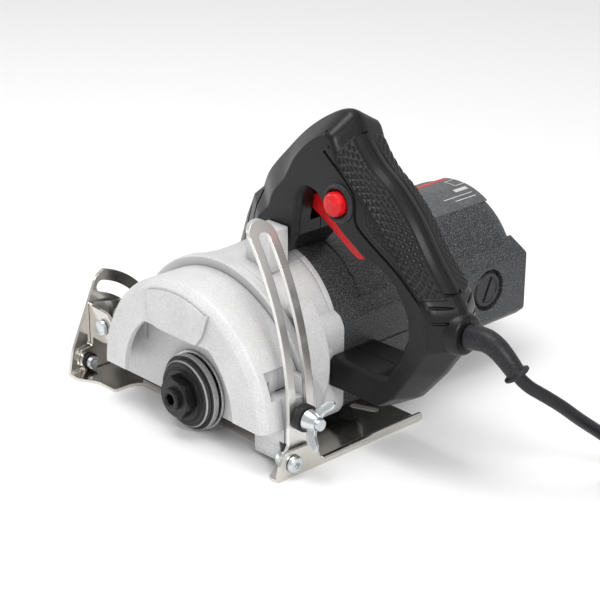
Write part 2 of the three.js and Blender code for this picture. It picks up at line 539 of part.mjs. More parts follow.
function handle() {
  const { y } = HANDLE;
  const whole = loft(...HANDLE_STATIONS.map(handleSection));
  const circle = (x, r) => arc(y, 74, r, 0, 345, 23).map(([v, w]) => [x, v, w]);
  const gland = loft(circle(-117, 12), circle(-127, 9.6));
  const recess = alongY([
    [-19, 111], [-25, 127], [-36, 128.5], [-49, 129.5], [-58, 119], [-66, 113.5], [-70, 114.5], [-78.5, 114.5],
    [-80, 106], [-74, 97], [-63, 90], [-40, 100],
  ], y - 7.2, y + 7.2);
  const switchRoom = alongY([[-51, 131.5], [-70, 115], [-82, 127], [-62, 142.5]], y - 9, y + 9);
  const cordWay = roundX({ y, z: 74 }, 4, -128, -95, 4, 16);
  const saddle = roundY(MOTOR, BARREL_R + 0.9, -60, 0, BARREL_R + 0.9, 64);
  const body = cut(join(whole, gland), saddle, recess, switchRoom, cordWay);
  const left = body.intersect(box(-200, 100, y + GAP / 2, 0, 0, 200));
  const right = body.intersect(box(-200, 100, -80, y - GAP / 2, 0, 200));
  const buttonWay = roundY(LOCK, 6.5, y, 0, 6.5, 24);
  const screwWays = SCREWS.map((at) =>
    join(roundY(at, 3.6, -60, y - 13, 3.6, 16), roundY(at, 1.9, -60, y, 1.9, 12)));
  add('handle_left', cut(left, buttonWay, pinWay(y, y + 9.5)), 'blackPlastic');
  add('handle_right', cut(right, pinWay(y - 9.5, y), ...screwWays), 'blackPlastic');
}

function handleFittings() {
  const { y, half } = HANDLE;
  const pad = [
    [-56.5, 147.5], [-65, 137.5], [-70.5, 129.5], [-71.5, 119.5], [-76.5, 113], [-97.5, 100.5], [-106.5, 91.5],
    [-112, 91.5], [-101, 104.5], [-88.5, 117.5], [-77, 128.5], [-64.5, 138.5], [-58.5, 146],
  ];
  const sideways = (edge, out) => alongY(pad, Math.min(edge, out), Math.max(edge, out));
  add('grip_pad_left', sideways(y + half + GAP, y + half + 1.5), 'softGrip');
  add('grip_pad_right', sideways(y - half - GAP, y - half - 1.5), 'softGrip');
  add('lock_button', roundY(LOCK, 6, y + 12.6, y + half + 5.6, 5.6, 24), 'redPlastic');
  add('lock_collar', ringY(LOCK, 7.2, 9.8, y + half + GAP, y + half + 1.8, 28), 'blackPlastic');
  const trigger = alongY([
    [-24.3, 113.5], [-29, 120.5], [-36, 121.5], [-47, 120], [-66, 105.5], [-70, 111.5], [-75.5, 111.5],
    [-76.5, 106], [-72, 101.5], [-63, 94.6], [-59.5, 94.3], [-54.6, 96.6], [-37.1, 107.3], [-30.7, 110.7],
  ], y - 6, y + 6);
  add('trigger', cut(trigger, roundY(TRIGGER_PIN, 1.8, y - 10, y + 10, 1.8, 12)), 'redPlastic');
  add('trigger_pin', roundY(TRIGGER_PIN, 1.5, y - 9, y + 9, 1.5, 12), 'steel');
  const switchOutline = [[-52, 131.3], [-70, 116.2], [-80.5, 127], [-62, 141.3]];
  add('switch_body', alongY(switchOutline, y - 8.4, y + 8.4), 'blackPlastic');
  SCREWS.forEach((at, i) => {
    const head = roundY(at, 3.2, y - half + 0.4, y - 13.3, 3.2, 16);
    add(`handle_screw_${i + 1}`, join(head, roundY(at, 1.5, y - 13.5, y - 1, 1.5, 12)), 'steel');
  });
}

// Screws that draw the motor housing to the gear housing.
function housingScrews() {
  Object.entries(HOUSING_SCREWS).forEach(([label, at]) => {
    const head = roundY(at, 4.2, -48.5, -45.3, 4.2, 16);
    add(`housing_screw_${label}`, join(head, roundY(at, 2, -46, -9, 2, 12)), 'zinc');
  });
}

// Clamps: a wing nut on the guard's stud locks the depth, a wing bolt in the front slot locks the bevel.
function winged(at, x0, outward, turn) {
  const hub = outward < 0 ? roundX(at, 3.6, x0 - 7.5, x0, 5.4) : roundX(at, 5.4, x0, x0 + 7.5, 3.6);
  const blade = (side) => {
    const outline = [[side * 2.5, 1.5], [side * 11, 6.5], [side * 13.2, 11.5], [side * 9.5, 12], [side * 2.5, 7]];
    const flat = alongZ(side > 0 ? outline : outline.reverse(), -1.1, 1.1);
    return flat.rotate([0, 0, outward < 0 ? 90 : -90]).rotate([turn, 0, 0]).translate([x0, at.y, at.z]);
  };
  return join(hub, blade(1), blade(-1));
}

function clamps() {
  const depth = { y: (ARM.y0 + ARM.y1) / 2, z: PIVOT.z };
  const armFace = PIVOT.x - ARM.radius - ARM.thick / 2;
  add('depth_stud', roundX(depth, STUD.shank, -82, -52, STUD.shank, 16), 'zinc');
  add('depth_washer', ringX(depth, 3.2, 6.8, armFace - GAP - 4.2, armFace - GAP), 'blackPlastic');
  const nutFace = armFace - 2 * GAP - 4.2;
  const nut = winged(depth, nutFace, -1, -60);
  add('depth_wing_nut', cut(nut, roundX(depth, 3.2, -95, -60, 3.2, 16)), 'zinc');
  const stud = bevelStud();
  const knobFace = BASE.x1 + GAP;
  const knob = winged(stud, knobFace, 1, 20);
  const shank = roundX(stud, STUD.shank, 88.4, knobFace + 1, STUD.shank, 16);
  add('bevel_wing_bolt', join(knob, shank), 'zinc');
  add('rear_bevel_washer', ringX(BEVEL, 2.8, 4.7, -69.3, -68.5, 20), 'zinc');
  add('front_bevel_washer', ringX(BEVEL, 2.8, 4.6, 87.7, 88.8, 20), 'blackPlastic');
  const pinShank = roundY(PIVOT, STUD.shank, 4, 22.8, STUD.shank, 16);
  add('depth_pivot_bolt', join(roundY(PIVOT, 4.6, 22.8, 25, 4, 20), pinShank), 'zinc');
}

// Mains lead: straight out of the handle, down to the floor behind the saw, into a coil and a plug.
const LEAD = [
  [-128.4, -33, 74.2], [-133.2, -33, 74.9], [-139.1, -33, 75.1], [-144, -33.3, 73.4], [-148, -34, 70.3],
  [-151.6, -35, 66.4], [-154.8, -36.7, 61.6], [-158.6, -39.8, 57], [-163, -45, 52.6], [-167.6, -52.4, 46.4],
  [-171.4, -62, 37.8], [-174.6, -73, 28.8], [-178.2, -84, 19.8], [-183, -96, 11.4], [-188.6, -107.5, 6],
  [-194.6, -119, 4.2], [-200.6, -128.3, 4.15],
];
const RELIEF_POINTS = 7;
const TAIL = [[-250, -145, 10.6], [-262, -144.6, 10.2], [-277, -142.4, 8.5], [-290.8, -140.3, 7]];

function mainsLead() {
  const relief = LEAD.slice(0, RELIEF_POINTS);
  const lip = LEAD[RELIEF_POINTS - 1];
  const guard = tube(relief, 6.2, 9, 12, 4.4);
  const ring = solid(new THREE.SphereGeometry(6, 12, 8).scale(1, 1, 0.8).translate(...lip));
  const free = LEAD.slice(RELIEF_POINTS - 1);
  const bend = new THREE.CatmullRomCurve3(free.map((p) => new THREE.Vector3(...p)), false, 'centripetal');
  const startsAt = bend.getPointAt(0.065).toArray();
  const anchor = roundX({ y: HANDLE.y, z: 74 }, 3.6, -128.7, -100, 3.6, 12);
  const { x, y, inner, outer, z0, z1 } = COIL;
  const coilRoom = alongZ(arc(x, y, outer + GAP, 0, 351, 39), -5, 30);
  add('cord_guard', join(guard, ring, anchor), 'blackPlastic');
  add('cord', cut(tube([startsAt, ...free.slice(2)], CORD_D / 2, 16), coilRoom), 'cordBlack');
  const profile = [[inner, z0], [outer, z0], [outer, z1], [inner, z1], [inner, z0]];
  const ringGeometry = new THREE.LatheGeometry(profile.map((p) => new THREE.Vector2(...p)), 40)
    .rotateX(Math.PI / 2);
  add('cord_coil', solid(ringGeometry.translate(x, y, 0)), 'cordBlack');
  add('cord_tail', cut(tube(TAIL, CORD_D / 2, 6), coilRoom), 'cordBlack');
  const plug = join(
    alongZ([
      [-291.4, -136], [-297, -135], [-304, -128], [-328, -127], [-331, -130], [-331, -150], [-328, -153],
      [-304, -152], [-297, -145], [-291.4, -144],
    ], 0.6, 13.4),
    roundX({ y: -130.5, z: 7 }, 2, -350, -330, 2, 12), roundX({ y: -149.5, z: 7 }, 2, -350, -330, 2, 12));
  add('power_plug', plug, 'blackPlastic');
}

add('base_plate', basePlate(), 'nickel');
hingeBolts();
add('front_bracket', frontBracket(), 'nickel');
add('depth_arm', depthArm(), 'nickel');
add('gear_housing', gearHousing(), 'castSilver');
add('blade_guard', bladeGuard(), 'castSilver');
add('bearing_cover', ringY(SPINDLE, 7.5, 20.7, GUARD.wall + GAP, 26.2, 36), 'steel');
add('motor_housing', motorHousing(), 'blackPlastic');
motorInternals();
rotors();
brushGear(-1, 'rear');
brushGear(1, 'front');
handle();
handleFittings();
housingScrews();
clamps();
mainsLead();

export default saw;
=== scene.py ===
import math

import bmesh
import bpy
import numpy as np
from mathutils import Matrix, Vector


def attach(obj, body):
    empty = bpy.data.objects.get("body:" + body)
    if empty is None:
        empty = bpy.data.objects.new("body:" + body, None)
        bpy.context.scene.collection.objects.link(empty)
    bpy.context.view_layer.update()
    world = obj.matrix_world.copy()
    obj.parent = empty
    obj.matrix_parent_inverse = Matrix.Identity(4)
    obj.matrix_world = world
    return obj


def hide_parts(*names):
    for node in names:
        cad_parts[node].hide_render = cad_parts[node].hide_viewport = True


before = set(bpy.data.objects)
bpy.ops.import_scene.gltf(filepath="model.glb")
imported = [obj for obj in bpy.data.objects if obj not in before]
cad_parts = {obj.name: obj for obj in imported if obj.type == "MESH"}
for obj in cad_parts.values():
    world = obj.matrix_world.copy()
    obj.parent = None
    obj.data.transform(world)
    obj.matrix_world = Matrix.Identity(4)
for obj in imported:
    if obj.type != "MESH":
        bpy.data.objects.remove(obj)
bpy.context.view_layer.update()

# Studio. A long lens looks down on the blade side from behind the saw, which stands on a pale sweep.
# A broad light hangs over it, a smaller key light stands behind it, and a weak one lights its front.
EYE = Vector((-0.62946, 0.54911, 0.41222))
AZIMUTH, ELEVATION, ROLL = math.radians(226.629), math.radians(22.73), math.radians(0.282)
LENS = 108.58
WHITE, PAPER = (1, 1, 1, 1), (0.93, 0.93, 0.93, 1)

back = Vector((
    math.sin(AZIMUTH) * math.cos(ELEVATION),
    -math.cos(AZIMUTH) * math.cos(ELEVATION),
    math.sin(ELEVATION),
))
level = Vector((math.cos(AZIMUTH), math.sin(AZIMUTH), 0))
lift = back.cross(level)
right = level * math.cos(ROLL) + lift * math.sin(ROLL)
up = lift * math.cos(ROLL) - level * math.sin(ROLL)

lens = bpy.data.cameras.new("camera")
lens.lens, lens.clip_start, lens.clip_end = LENS, 0.02, 50
camera = bpy.data.objects.new("camera", lens)
camera.matrix_world = Matrix.Translation(EYE) @ Matrix((right, up, back)).transposed().to_4x4()
bpy.context.collection.objects.link(camera)
bpy.context.scene.camera = camera
bpy.context.scene.view_settings.view_transform = "Standard"


AIM = Vector((0, -0.05, 0.06))


def soft_light(name, place, size, watts):
    """A square area light at a place, turned to face the middle of the saw."""
    lamp = bpy.data.lights.new(name, "AREA")
    lamp.size, lamp.energy = size, watts
    holder = bpy.data.objects.new(name, lamp)
    holder.matrix_world = (
        Matrix.Translation(place)
        @ (AIM - Vector(place)).to_track_quat("-Z", "Y").to_matrix().to_4x4()
    )
    bpy.context.collection.objects.link(holder)


soft_light("overhead", (0.1, 0.1, 1.2), 0.7, 7.5)
soft_light("rear_key", (-0.95, 0.35, 0.75), 0.35, 5.5)
soft_light("front_strip", (0.9, 0.5, 0.45), 0.3, 1.0)

sky = bpy.data.worlds.new("sky")
sky.use_nodes = True
sky.node_tree.nodes["Background"].inputs["Color"].default_value = WHITE
sky.node_tree.nodes["Background"].inputs["Strength"].default_value = 0.62
bpy.context.scene.world = sky

FLOOR = 6.0
floor_mesh = bpy.data.meshes.new("floor")
floor_mesh.from_pydata(
    [(-FLOOR, -FLOOR, 0), (FLOOR, -FLOOR, 0), (FLOOR, FLOOR, 0), (-FLOOR, FLOOR, 0)], [], [(0, 1, 2, 3)]
)
floor = bpy.data.objects.new("floor", floor_mesh)
bpy.context.collection.objects.link(floor)
paper = bpy.data.materials.new("paper")
paper.use_nodes = True
paper.node_tree.nodes["Principled BSDF"].inputs["Base Color"].default_value = PAPER
paper.node_tree.nodes["Principled BSDF"].inputs["Roughness"].default_value = 0.9
floor_mesh.materials.append(paper)


# Mains lead. Two cores in a round black PVC sheath, 6.2 mm across. It leaves the back of the handle
# through a tapered sleeve, drops to the floor and is wound into a flat coil of two layers.
MM = 0.001
LEAD_DIAMETER = 6.2
EXIT = (-124.8, -33, 73.9)
LEAD = [
    EXIT, (-128.4, -33, 74.2), (-133.2, -33, 74.9), (-139.1, -33, 75.1), (-144, -33.3, 73.4),
    (-148, -34, 70.3), (-151.6, -35, 66.4), (-154.8, -36.7, 61.6), (-158.6, -39.8, 57), (-163, -45, 52.6),
    (-167.6, -52.4, 46.4),
    (-171.4, -62, 37.8), (-174.6, -73, 28.8), (-178.2, -84, 19.8), (-183, -96, 11.4), (-188.6, -107.5, 6),
    (-194.6, -119, 4.2), (-200.6, -128.3, 4.15),
]
TAIL = [(-250, -145, 10.55), (-262, -144.6, 10.2), (-277, -142.4, 8.5), (-290.8, -140.3, 7), (-297, -140, 7)]
COIL_CENTRE = np.array([-243.0, -95.0])
COIL_OUTER, COIL_PITCH = 50.0, 6.25
LAYERS = (4.15, 10.55)
WINDS, CLIMB = 3.947, 0.25


class Signal:
    """One socket of a material's node tree. Arithmetic on it adds the Math nodes that work it out."""

    def __init__(self, tree, socket=None):
        self.tree, self.socket = tree, socket

    def node(self, kind, settings=None, values=None, output=0):
        """A new shader node: its settings are set first, then its sockets are given values or links."""
        made = self.tree.nodes.new("ShaderNode" + kind)
        for name, value in (settings or {}).items():
            setattr(made, name, value)
        for name, value in (values or {}).items():
            if isinstance(value, Signal):
                self.tree.links.new(value.socket, made.inputs[name])
            else:
                made.inputs[name].default_value = value
        return Signal(self.tree, made.outputs[output])

    def maths(self, operation, a, b=0.0):
        """A Math node's operation on a and b, which are signals or numbers."""
        return self.node("Math", {"operation": operation}, {0: a, 1: b})

    def __add__(self, other):
        return self.maths("ADD", self, other)

    __radd__ = __add__

    def __sub__(self, other):
        return self.maths("SUBTRACT", self, other)

    def __rsub__(self, other):
        return self.maths("SUBTRACT", other, self)

    def __mul__(self, other):
        return self.maths("MULTIPLY", self, other)

    __rmul__ = __mul__

    def above(self, edge, soft=0.05):
        """0 below the edge and 1 above it, with a soft step between."""
        return self.node(
            "MapRange", {"interpolation_type": "SMOOTHSTEP"},
            {"Value": self, "From Min": edge - soft, "From Max": edge + soft},
        )


def noise(start, place, size, detail=3.0, roughness=0.5):
    """Noise whose blobs are about size millimetres across."""
    values = {"Vector": place, "Scale": 1 / (size * MM), "Detail": detail, "Roughness": roughness}
    return start.node("TexNoise", {}, values)


def blended(start, share, low, high):
    """A colour between two colours, by a share from 0 to 1."""
    values = {"Factor": share, 6: (*low, 1), 7: (*high, 1)}
    return start.node("Mix", {"data_type": "RGBA"}, values, output=2)


METAL_SHINE, PLASTIC_SHINE, COAT_ROUGHNESS = 0.5, 0.3, 0.25


def finish(name, colour, roughness, metallic=0.0, height=None, depth=0.05, edge=0.35, coat=0.0):
    """A material. colour, roughness and height are functions of (start, place) that give a signal, or
    plain values; place is the point on the piece. The surface is raised by height times depth
    millimetres, and edges are eased over a radius of edge millimetres."""
    material = bpy.data.materials.new(name)
    material.use_nodes = True
    tree = material.node_tree
    shader = tree.nodes["Principled BSDF"]
    start = Signal(tree)
    place = start.node("TexCoord", {}, {}, output="Object")
    for socket, value in (("Base Color", colour), ("Roughness", roughness), ("Coat Weight", coat)):
        if callable(value):
            tree.links.new(value(start, place).socket, shader.inputs[socket])
        elif isinstance(value, tuple):
            shader.inputs[socket].default_value = (*value, 1)
        else:
            shader.inputs[socket].default_value = value
    shader.inputs["Metallic"].default_value = metallic
    shader.inputs["Specular IOR Level"].default_value = METAL_SHINE if metallic else PLASTIC_SHINE
    shader.inputs["Coat Roughness"].default_value = COAT_ROUGHNESS
    normal = start.node("Bevel", {"samples": 6}, {"Radius": edge * MM}) if edge else None
    if height:
        values = {"Height": height(start, place), "Distance": depth * MM, "Strength": 1.0}
        if normal:
            values["Normal"] = normal
        normal = start.node("Bump", {}, values)
    if normal:
        tree.links.new(normal.socket, shader.inputs["Normal"])
    return material


def smooth_path(points, spacing):
    """A centripetal Catmull-Rom curve through the points, as points an even spacing apart. Each knot's
    time grows by the square root of the gap before it, and a stretch blends its four nearest knots in
    three rounds of straight lines over those times."""
    knots = np.asarray(points, float)
    ends = np.vstack([2 * knots[0] - knots[1], knots, 2 * knots[-1] - knots[-2]])
    gaps = np.linalg.norm(np.diff(ends, axis=0), axis=1) ** 0.5
    times = np.concatenate([[0], np.cumsum(gaps)])
    fine = []
    for k in range(1, len(ends) - 2):
        t = np.linspace(times[k], times[k + 1], 24, endpoint=False)[:, None]
        p, s = ends[k - 1:k + 3], times[k - 1:k + 3]
        a = [p[i] + (p[i + 1] - p[i]) * (t - s[i]) / (s[i + 1] - s[i]) for i in range(3)]
        b = [a[i] + (a[i + 1] - a[i]) * (t - s[i]) / (s[i + 2] - s[i]) for i in range(2)]
        fine.append(b[0] + (b[1] - b[0]) * (t - s[1]) / (s[2] - s[1]))
    fine = np.vstack([*fine, ends[-2:-1]])
    run = np.concatenate([[0], np.cumsum(np.linalg.norm(np.diff(fine, axis=0), axis=1))])
    stations = np.linspace(0, run[-1], max(2, int(round(run[-1] / spacing)) + 1))
    return np.stack([np.interp(stations, run, column) for column in fine.T], axis=1)


def grid_faces(rows, columns, wrap_rows=False, wrap_columns=True):
    """The quads of a grid of points, row after row: each joins a point to its neighbours to the right
    and below, past the last row or column back to the first where it wraps."""
    r = np.arange(rows if wrap_rows else rows - 1)[:, None]
    c = np.arange(columns if wrap_columns else columns - 1)[None, :]
    right_of, below = (c + 1) % columns, (r + 1) % rows
    corners = [r * columns + c, r * columns + right_of, below * columns + right_of, below * columns + c]
    return np.stack(np.broadcast_arrays(*corners), axis=-1).reshape(-1, 4)


def tube(path, radius, sides=24):
    """A round section carried along a path, with flat ends: the path's point, plus the radius times the
    cosine and sine of the turn along the level side and the upright side of the path. Millimetres."""
    path = np.asarray(path, float)
    along = np.gradient(path, axis=0)
    along /= np.linalg.norm(along, axis=1, keepdims=True)
    side = np.cross(along, [0, 0, 1])
    side /= np.linalg.norm(side, axis=1, keepdims=True)
    over = np.cross(side, along)
    turn = np.linspace(0, 2 * np.pi, sides, endpoint=False)[None, :, None]
    spread = np.broadcast_to(radius, len(path))[:, None, None]
    points = path[:, None] + spread * (np.cos(turn) * side[:, None] + np.sin(turn) * over[:, None])
    last = (len(path) - 1) * sides
    faces = [tuple(f) for f in grid_faces(len(path), sides)]
    faces += [tuple(range(sides - 1, -1, -1)), tuple(range(last, last + sides))]
    return points.reshape(-1, 3), faces


def blank(name, points, faces):
    """An object made of points in millimetres and faces, with its normals facing out."""
    mesh = bpy.data.meshes.new(name)
    mesh.from_pydata(np.asarray(points, float) * MM, [], [tuple(int(i) for i in f) for f in faces])
    form = bmesh.new()
    form.from_mesh(mesh)
    bmesh.ops.remove_doubles(form, verts=form.verts, dist=1e-6)
    bmesh.ops.recalc_face_normals(form, faces=form.faces)
    form.to_mesh(mesh)
    form.free()
    made = bpy.data.objects.new(name, mesh)
    bpy.context.collection.objects.link(made)
    return made


def fitted(piece, name, material, body, *nodes, slot, sharp=32):
    """A finished piece: smooth except at its edges, in its material, on its body, for its CAD nodes."""
    piece.name = piece.data.name = name
    piece.data.materials.clear()
    piece.data.materials.append(material)
    piece.data.shade_smooth()
    piece.data.set_sharp_from_angle(angle=math.radians(sharp))
    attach(piece, body)
    if nodes:
        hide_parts(*nodes)
    return piece


def coil_path():
    """The wound part: in along the lower layer, up at the middle and out along the upper one. The angle
    falls evenly. The radius is the outer one less the pitch for every turn inward and plus it for every
    turn outward, with a soft step where the loose lead arrives."""
    turns = np.linspace(0, 2 * WINDS + CLIMB, 900)
    inward = np.clip(turns, 0, WINDS)
    outward = np.clip(turns - WINDS - CLIMB, 0, WINDS)
    arriving = np.clip(1 - turns / 0.16, 0, 1)
    radius = COIL_OUTER - COIL_PITCH * (inward - outward) + 3.9 * arriving ** 2 * (3 - 2 * arriving)
    rise = np.clip((turns - WINDS) / CLIMB, 0, 1)
    height = LAYERS[0] + (LAYERS[1] - LAYERS[0]) * rise ** 2 * (3 - 2 * rise)
    angle = math.atan2(LEAD[-1][1] - COIL_CENTRE[1], LEAD[-1][0] - COIL_CENTRE[0]) - 2 * np.pi * turns
    ring = COIL_CENTRE + radius[:, None] * np.stack([np.cos(angle), np.sin(angle)], axis=1)
    return np.column_stack([ring, height])


sheath = finish(
    "cord_sheath",
    lambda s, p: blended(s, noise(s, p, 9), (0.012, 0.012, 0.014), (0.02, 0.02, 0.023)),
    lambda s, p: 0.34 + 0.14 * noise(s, p, 4),
    height=lambda s, p: noise(s, p, 1.2), depth=0.04, edge=0,
)
loose = smooth_path(LEAD, 2.2)
wound = coil_path()
lead_line = np.vstack([loose[:-1], wound[1:-1:2], smooth_path([wound[-1], *TAIL], 2.2)])
lead_line = np.vstack([smooth_path(lead_line[::2], 2.4)[:-1], lead_line[-1:]])
lead = blank("mains_lead", *tube(lead_line, LEAD_DIAMETER / 2, 20))
fitted(lead, "mains_lead", sheath, "saw", "cord", "cord_coil", "cord_tail", slot="cord_sheath")



# Base. One sheet of bright nickel-plated steel, 1.6 mm thick. Its front and rear ends are turned up as
# ears for the bevel hinge, the front one with a curved slot, and its rear edge is rolled over.
SHEET, GAP = 1.6, 0.3
BASE_X, BASE_Y, BLADE_SIDE = (-71.2, 93.0), -62.5, 15.0
BEVEL_HINGE = (25.4, 7.0)
QUADRANT_R, QUADRANT_REST, QUADRANT_TRAVEL = 41.0, 152.0, 45.0
PLANES = {"x": (1, 2, 0), "y": (0, 2, 1), "z": (0, 1, 2)}


def arc(centre, radius, start, end, steps=28):
    """Points on a circle round a centre, from one angle in degrees to another."""
    turn = np.radians(np.linspace(start, end, steps + 1))
    return np.stack([centre[0] + radius * np.cos(turn), centre[1] + radius * np.sin(turn)], axis=1)


def path_of(*stretches):
    """Single points and rows of points, put end to end."""
    return np.vstack([np.atleast_2d(np.asarray(stretch, float)) for stretch in stretches])


def eased(outline, radius, steps=5):
    """A closed outline with each corner drawn as a parabola that starts and ends a radius from it."""
    corner = np.asarray(outline, float)
    corner = corner[np.linalg.norm(corner - np.roll(corner, 1, axis=0), axis=1) > 1e-6]
    before, after = np.roll(corner, 1, axis=0) - corner, np.roll(corner, -1, axis=0) - corner
    sides = [np.linalg.norm(side, axis=1, keepdims=True) for side in (before, after)]
    reach = np.minimum(radius, 0.45 * np.minimum(*sides))
    start, end = corner + before / sides[0] * reach, corner + after / sides[1] * reach
    t = np.linspace(0, 1, steps)[None, :, None]
    curve = (1 - t) ** 2 * start[:, None] + 2 * t * (1 - t) * corner[:, None] + t ** 2 * end[:, None]
    return curve.reshape(-1, 2)


def stacked(rings):
    """A skin over a stack of rings with equal numbers of points, closed with a flat face at each end."""
    rings = np.asarray(rings, float)
    rows, sides = rings.shape[:2]
    last = (rows - 1) * sides
    ends = [tuple(range(sides - 1, -1, -1)), tuple(range(last, last + sides))]
    return blank("stack", rings.reshape(-1, 3), [*grid_faces(rows, sides), *ends])


def prism(axis, outline, low, high):
    """An outline carried straight along an axis. The outline is in y, z along x, in x, z along y and in
    x, y along z."""
    outline = np.asarray(outline, float)
    first, second, along = PLANES[axis]
    rings = np.empty((2, len(outline), 3))
    rings[..., first], rings[..., second] = outline[:, 0], outline[:, 1]
    rings[..., along] = [[low], [high]]
    return stacked(rings)


def turned(axis, centre, profile, sides=72):
    """A closed profile of (radius, station) carried round an axis: the radius times the cosine and the
    sine of the angle from the centre, and the station along the axis."""
    profile = np.asarray(profile, float)
    first, second, along = PLANES[axis]
    turn = np.linspace(0, 2 * np.pi, sides, endpoint=False)[:, None]
    points = np.empty((sides, len(profile), 3))
    points[..., first] = centre[0] + np.cos(turn) * profile[:, 0]
    points[..., second] = centre[1] + np.sin(turn) * profile[:, 0]
    points[..., along] = profile[:, 1]
    return blank("turned", points.reshape(-1, 3), grid_faces(sides, len(profile), True, True))


def rod(axis, centre, radius, low, high, ease=0.0, sides=64):
    """A round bar between two stations, with its end edges cut back by ease."""
    profile = [(0, low), (radius - ease, low), (radius, low + ease), (radius, high - ease),
               (radius - ease, high), (0, high)]
    return turned(axis, centre, profile if ease else [profile[i] for i in (0, 1, 4, 5)], sides)


def ring(axis, centre, inner, outer, low, high, ease=0.3, sides=72):
    """A washer or a sleeve: a box section with eased corners, turned round an axis."""
    box = [(inner, low), (outer, low), (outer, high), (inner, high)]
    return turned(axis, centre, eased(box, ease), sides)


def slab(x0, x1, y0, y1, z0, z1):
    """A box between two x, two y and two z."""
    return prism("z", [(x0, y0), (x1, y0), (x1, y1), (x0, y1)], z0, z1)


def settled(piece):
    """The piece with its modifiers worked into its mesh."""
    mesh = bpy.data.meshes.new_from_object(piece.evaluated_get(bpy.context.evaluated_depsgraph_get()))
    piece.modifiers.clear()
    piece.data = mesh
    return piece


def worked(operation, piece, tools):
    """The piece after a boolean with each tool in turn. The tools are used up."""
    for tool in tools:
        change = piece.modifiers.new("work", "BOOLEAN")
        change.operation, change.object, change.solver = operation, tool, "MANIFOLD"
    settled(piece)
    for tool in tools:
        bpy.data.objects.remove(tool)
    return piece


def joined(piece, *tools):
    """The piece with each tool's solid added."""
    return worked("UNION", piece, tools)


def cut(piece, *tools):
    """The piece with each tool's solid taken away."""
    return worked("DIFFERENCE", piece, tools)


def shared(piece, tool):
    """The part of the piece that lies inside the tool."""
    return worked("INTERSECT", piece, [tool])


def softened(piece, width, angle=35, segments=3):
    """Geometry round the edges sharper than an angle, a width across."""
    bevel = piece.modifiers.new("soften", "BEVEL")
    bevel.width, bevel.segments = width * MM, segments
    bevel.limit_method, bevel.angle_limit = "ANGLE", math.radians(angle)
    return settled(piece)


def slot(start, end, width):
    """A round-ended slot between two points: half a circle of half the width round each."""
    turn = math.degrees(math.atan2(end[1] - start[1], end[0] - start[0]))
    return path_of(
        arc(start, width / 2, turn + 90, turn + 270, 14), arc(end, width / 2, turn - 90, turn + 90, 14))


def curved_slot(centre, radius, width, start, end):
    """A slot of even width along an arc, with round ends. Angles in degrees."""
    first, last = arc(centre, radius, start, end, 1)
    return path_of(
        arc(centre, radius + width / 2, start, end, 40), arc(last, width / 2, end, end + 180, 12)[1:-1],
        arc(centre, radius - width / 2, end, start, 40),
        arc(first, width / 2, start + 180, start + 360, 12)[1:-1],
    )


def nickel_colour(start, place):
    """Warm grey between two tones, by slow noise."""
    return blended(start, noise(start, place, 22), (0.60, 0.575, 0.535), (0.72, 0.70, 0.66))


def nickel_gloss(start, place):
    """Mostly mirror-bright, duller where it is handled and along fine polishing lines."""
    smear = noise(start, place, 16, 5.0, 0.6).above(0.56, 0.12)
    lines = start.node("Mapping", {}, {"Vector": place, "Scale": (0.15, 1.0, 1.0)})
    return 0.1 + 0.13 * smear + 0.09 * noise(start, lines, 0.5)


def nickel_relief(start, place):
    """A slow waviness plus finer noise drawn out along x into polishing lines."""
    lines = start.node("Mapping", {}, {"Vector": place, "Scale": (0.1, 1.0, 1.0)})
    return 0.25 * noise(start, place, 14, 1.0) + 0.12 * noise(start, lines, 0.4)


nickel = finish("nickel_sheet", nickel_colour, nickel_gloss, 1.0, nickel_relief, 0.06, edge=0.3)


def base_plate():
    """The sole's outline and both ears' outlines, each given the sheet's thickness, plus a quarter-round
    fillet at each bend and a round bar along the rolled edge, less the window, slots and holes."""
    x0, x1 = BASE_X
    sole = prism("z", path_of(eased([
        (x0, BASE_Y), (x1, BASE_Y), (x1, 36.5), (84, 36.5), (74, 31), (60, 31), (60, 20), (57, BLADE_SIDE),
        (-52, BLADE_SIDE), (-55, 17), (-65.5, 36), (x0, 36),
    ], 2.0)), 0, SHEET)
    window = prism("z", eased([(-24, -25), (24, -25), (24, -1.5), (-24, -1.5)], 3.0), -2, 4)
    scale_slot = curved_slot(BEVEL_HINGE, QUADRANT_R, 6.8, QUADRANT_REST - QUADRANT_TRAVEL, QUADRANT_REST)
    front_ear = prism("x", eased(path_of(
        (36.5, 0), (34, 14), (17, 52.5), arc(BEVEL_HINGE, 50.5, 106, 166, 32), (-28, 0),
    ), 2.5), x1 - SHEET, x1)
    rear_ear = prism("x", eased([
        (36, 0), (34, 9), (31, 13), (28, 14.2), (13, 13.6), (9.5, 10), (7.5, 4), (4, 0),
    ], 2.2), x0, x0 + SHEET)
    bend = 2.2
    fillet = arc((0, 0), bend, 180, 270, 8) + bend
    front_bend = np.column_stack([x1 - SHEET - fillet[:, 0], SHEET + fillet[:, 1]])
    rear_bend = np.column_stack([x0 + SHEET + fillet[:, 0], SHEET + fillet[:, 1]])
    roll = rod("y", (x0 + SHEET, 1.9), 1.9, BASE_Y - 2, 6, 0.4)
    plate = joined(
        sole, front_ear, rear_ear, roll,
        prism("y", path_of((x1 - SHEET + 0.5, SHEET - 0.5), front_bend), -27, 35),
        prism("y", path_of((x0 + SHEET - 0.5, SHEET - 0.5), rear_bend), 6, 34),
    )
    return cut(
        plate, window, prism("z", slot((-39, -48), (-49, -52), 5), -2, 4),
        prism("x", scale_slot, x1 - 3, x1 + 3), rod("x", BEVEL_HINGE, 2.9, x0 - 5, x1 + 5),
    )


fitted(base_plate(), "base_plate_sheet", nickel, "base", "base_plate", slot="nickel_sheet")


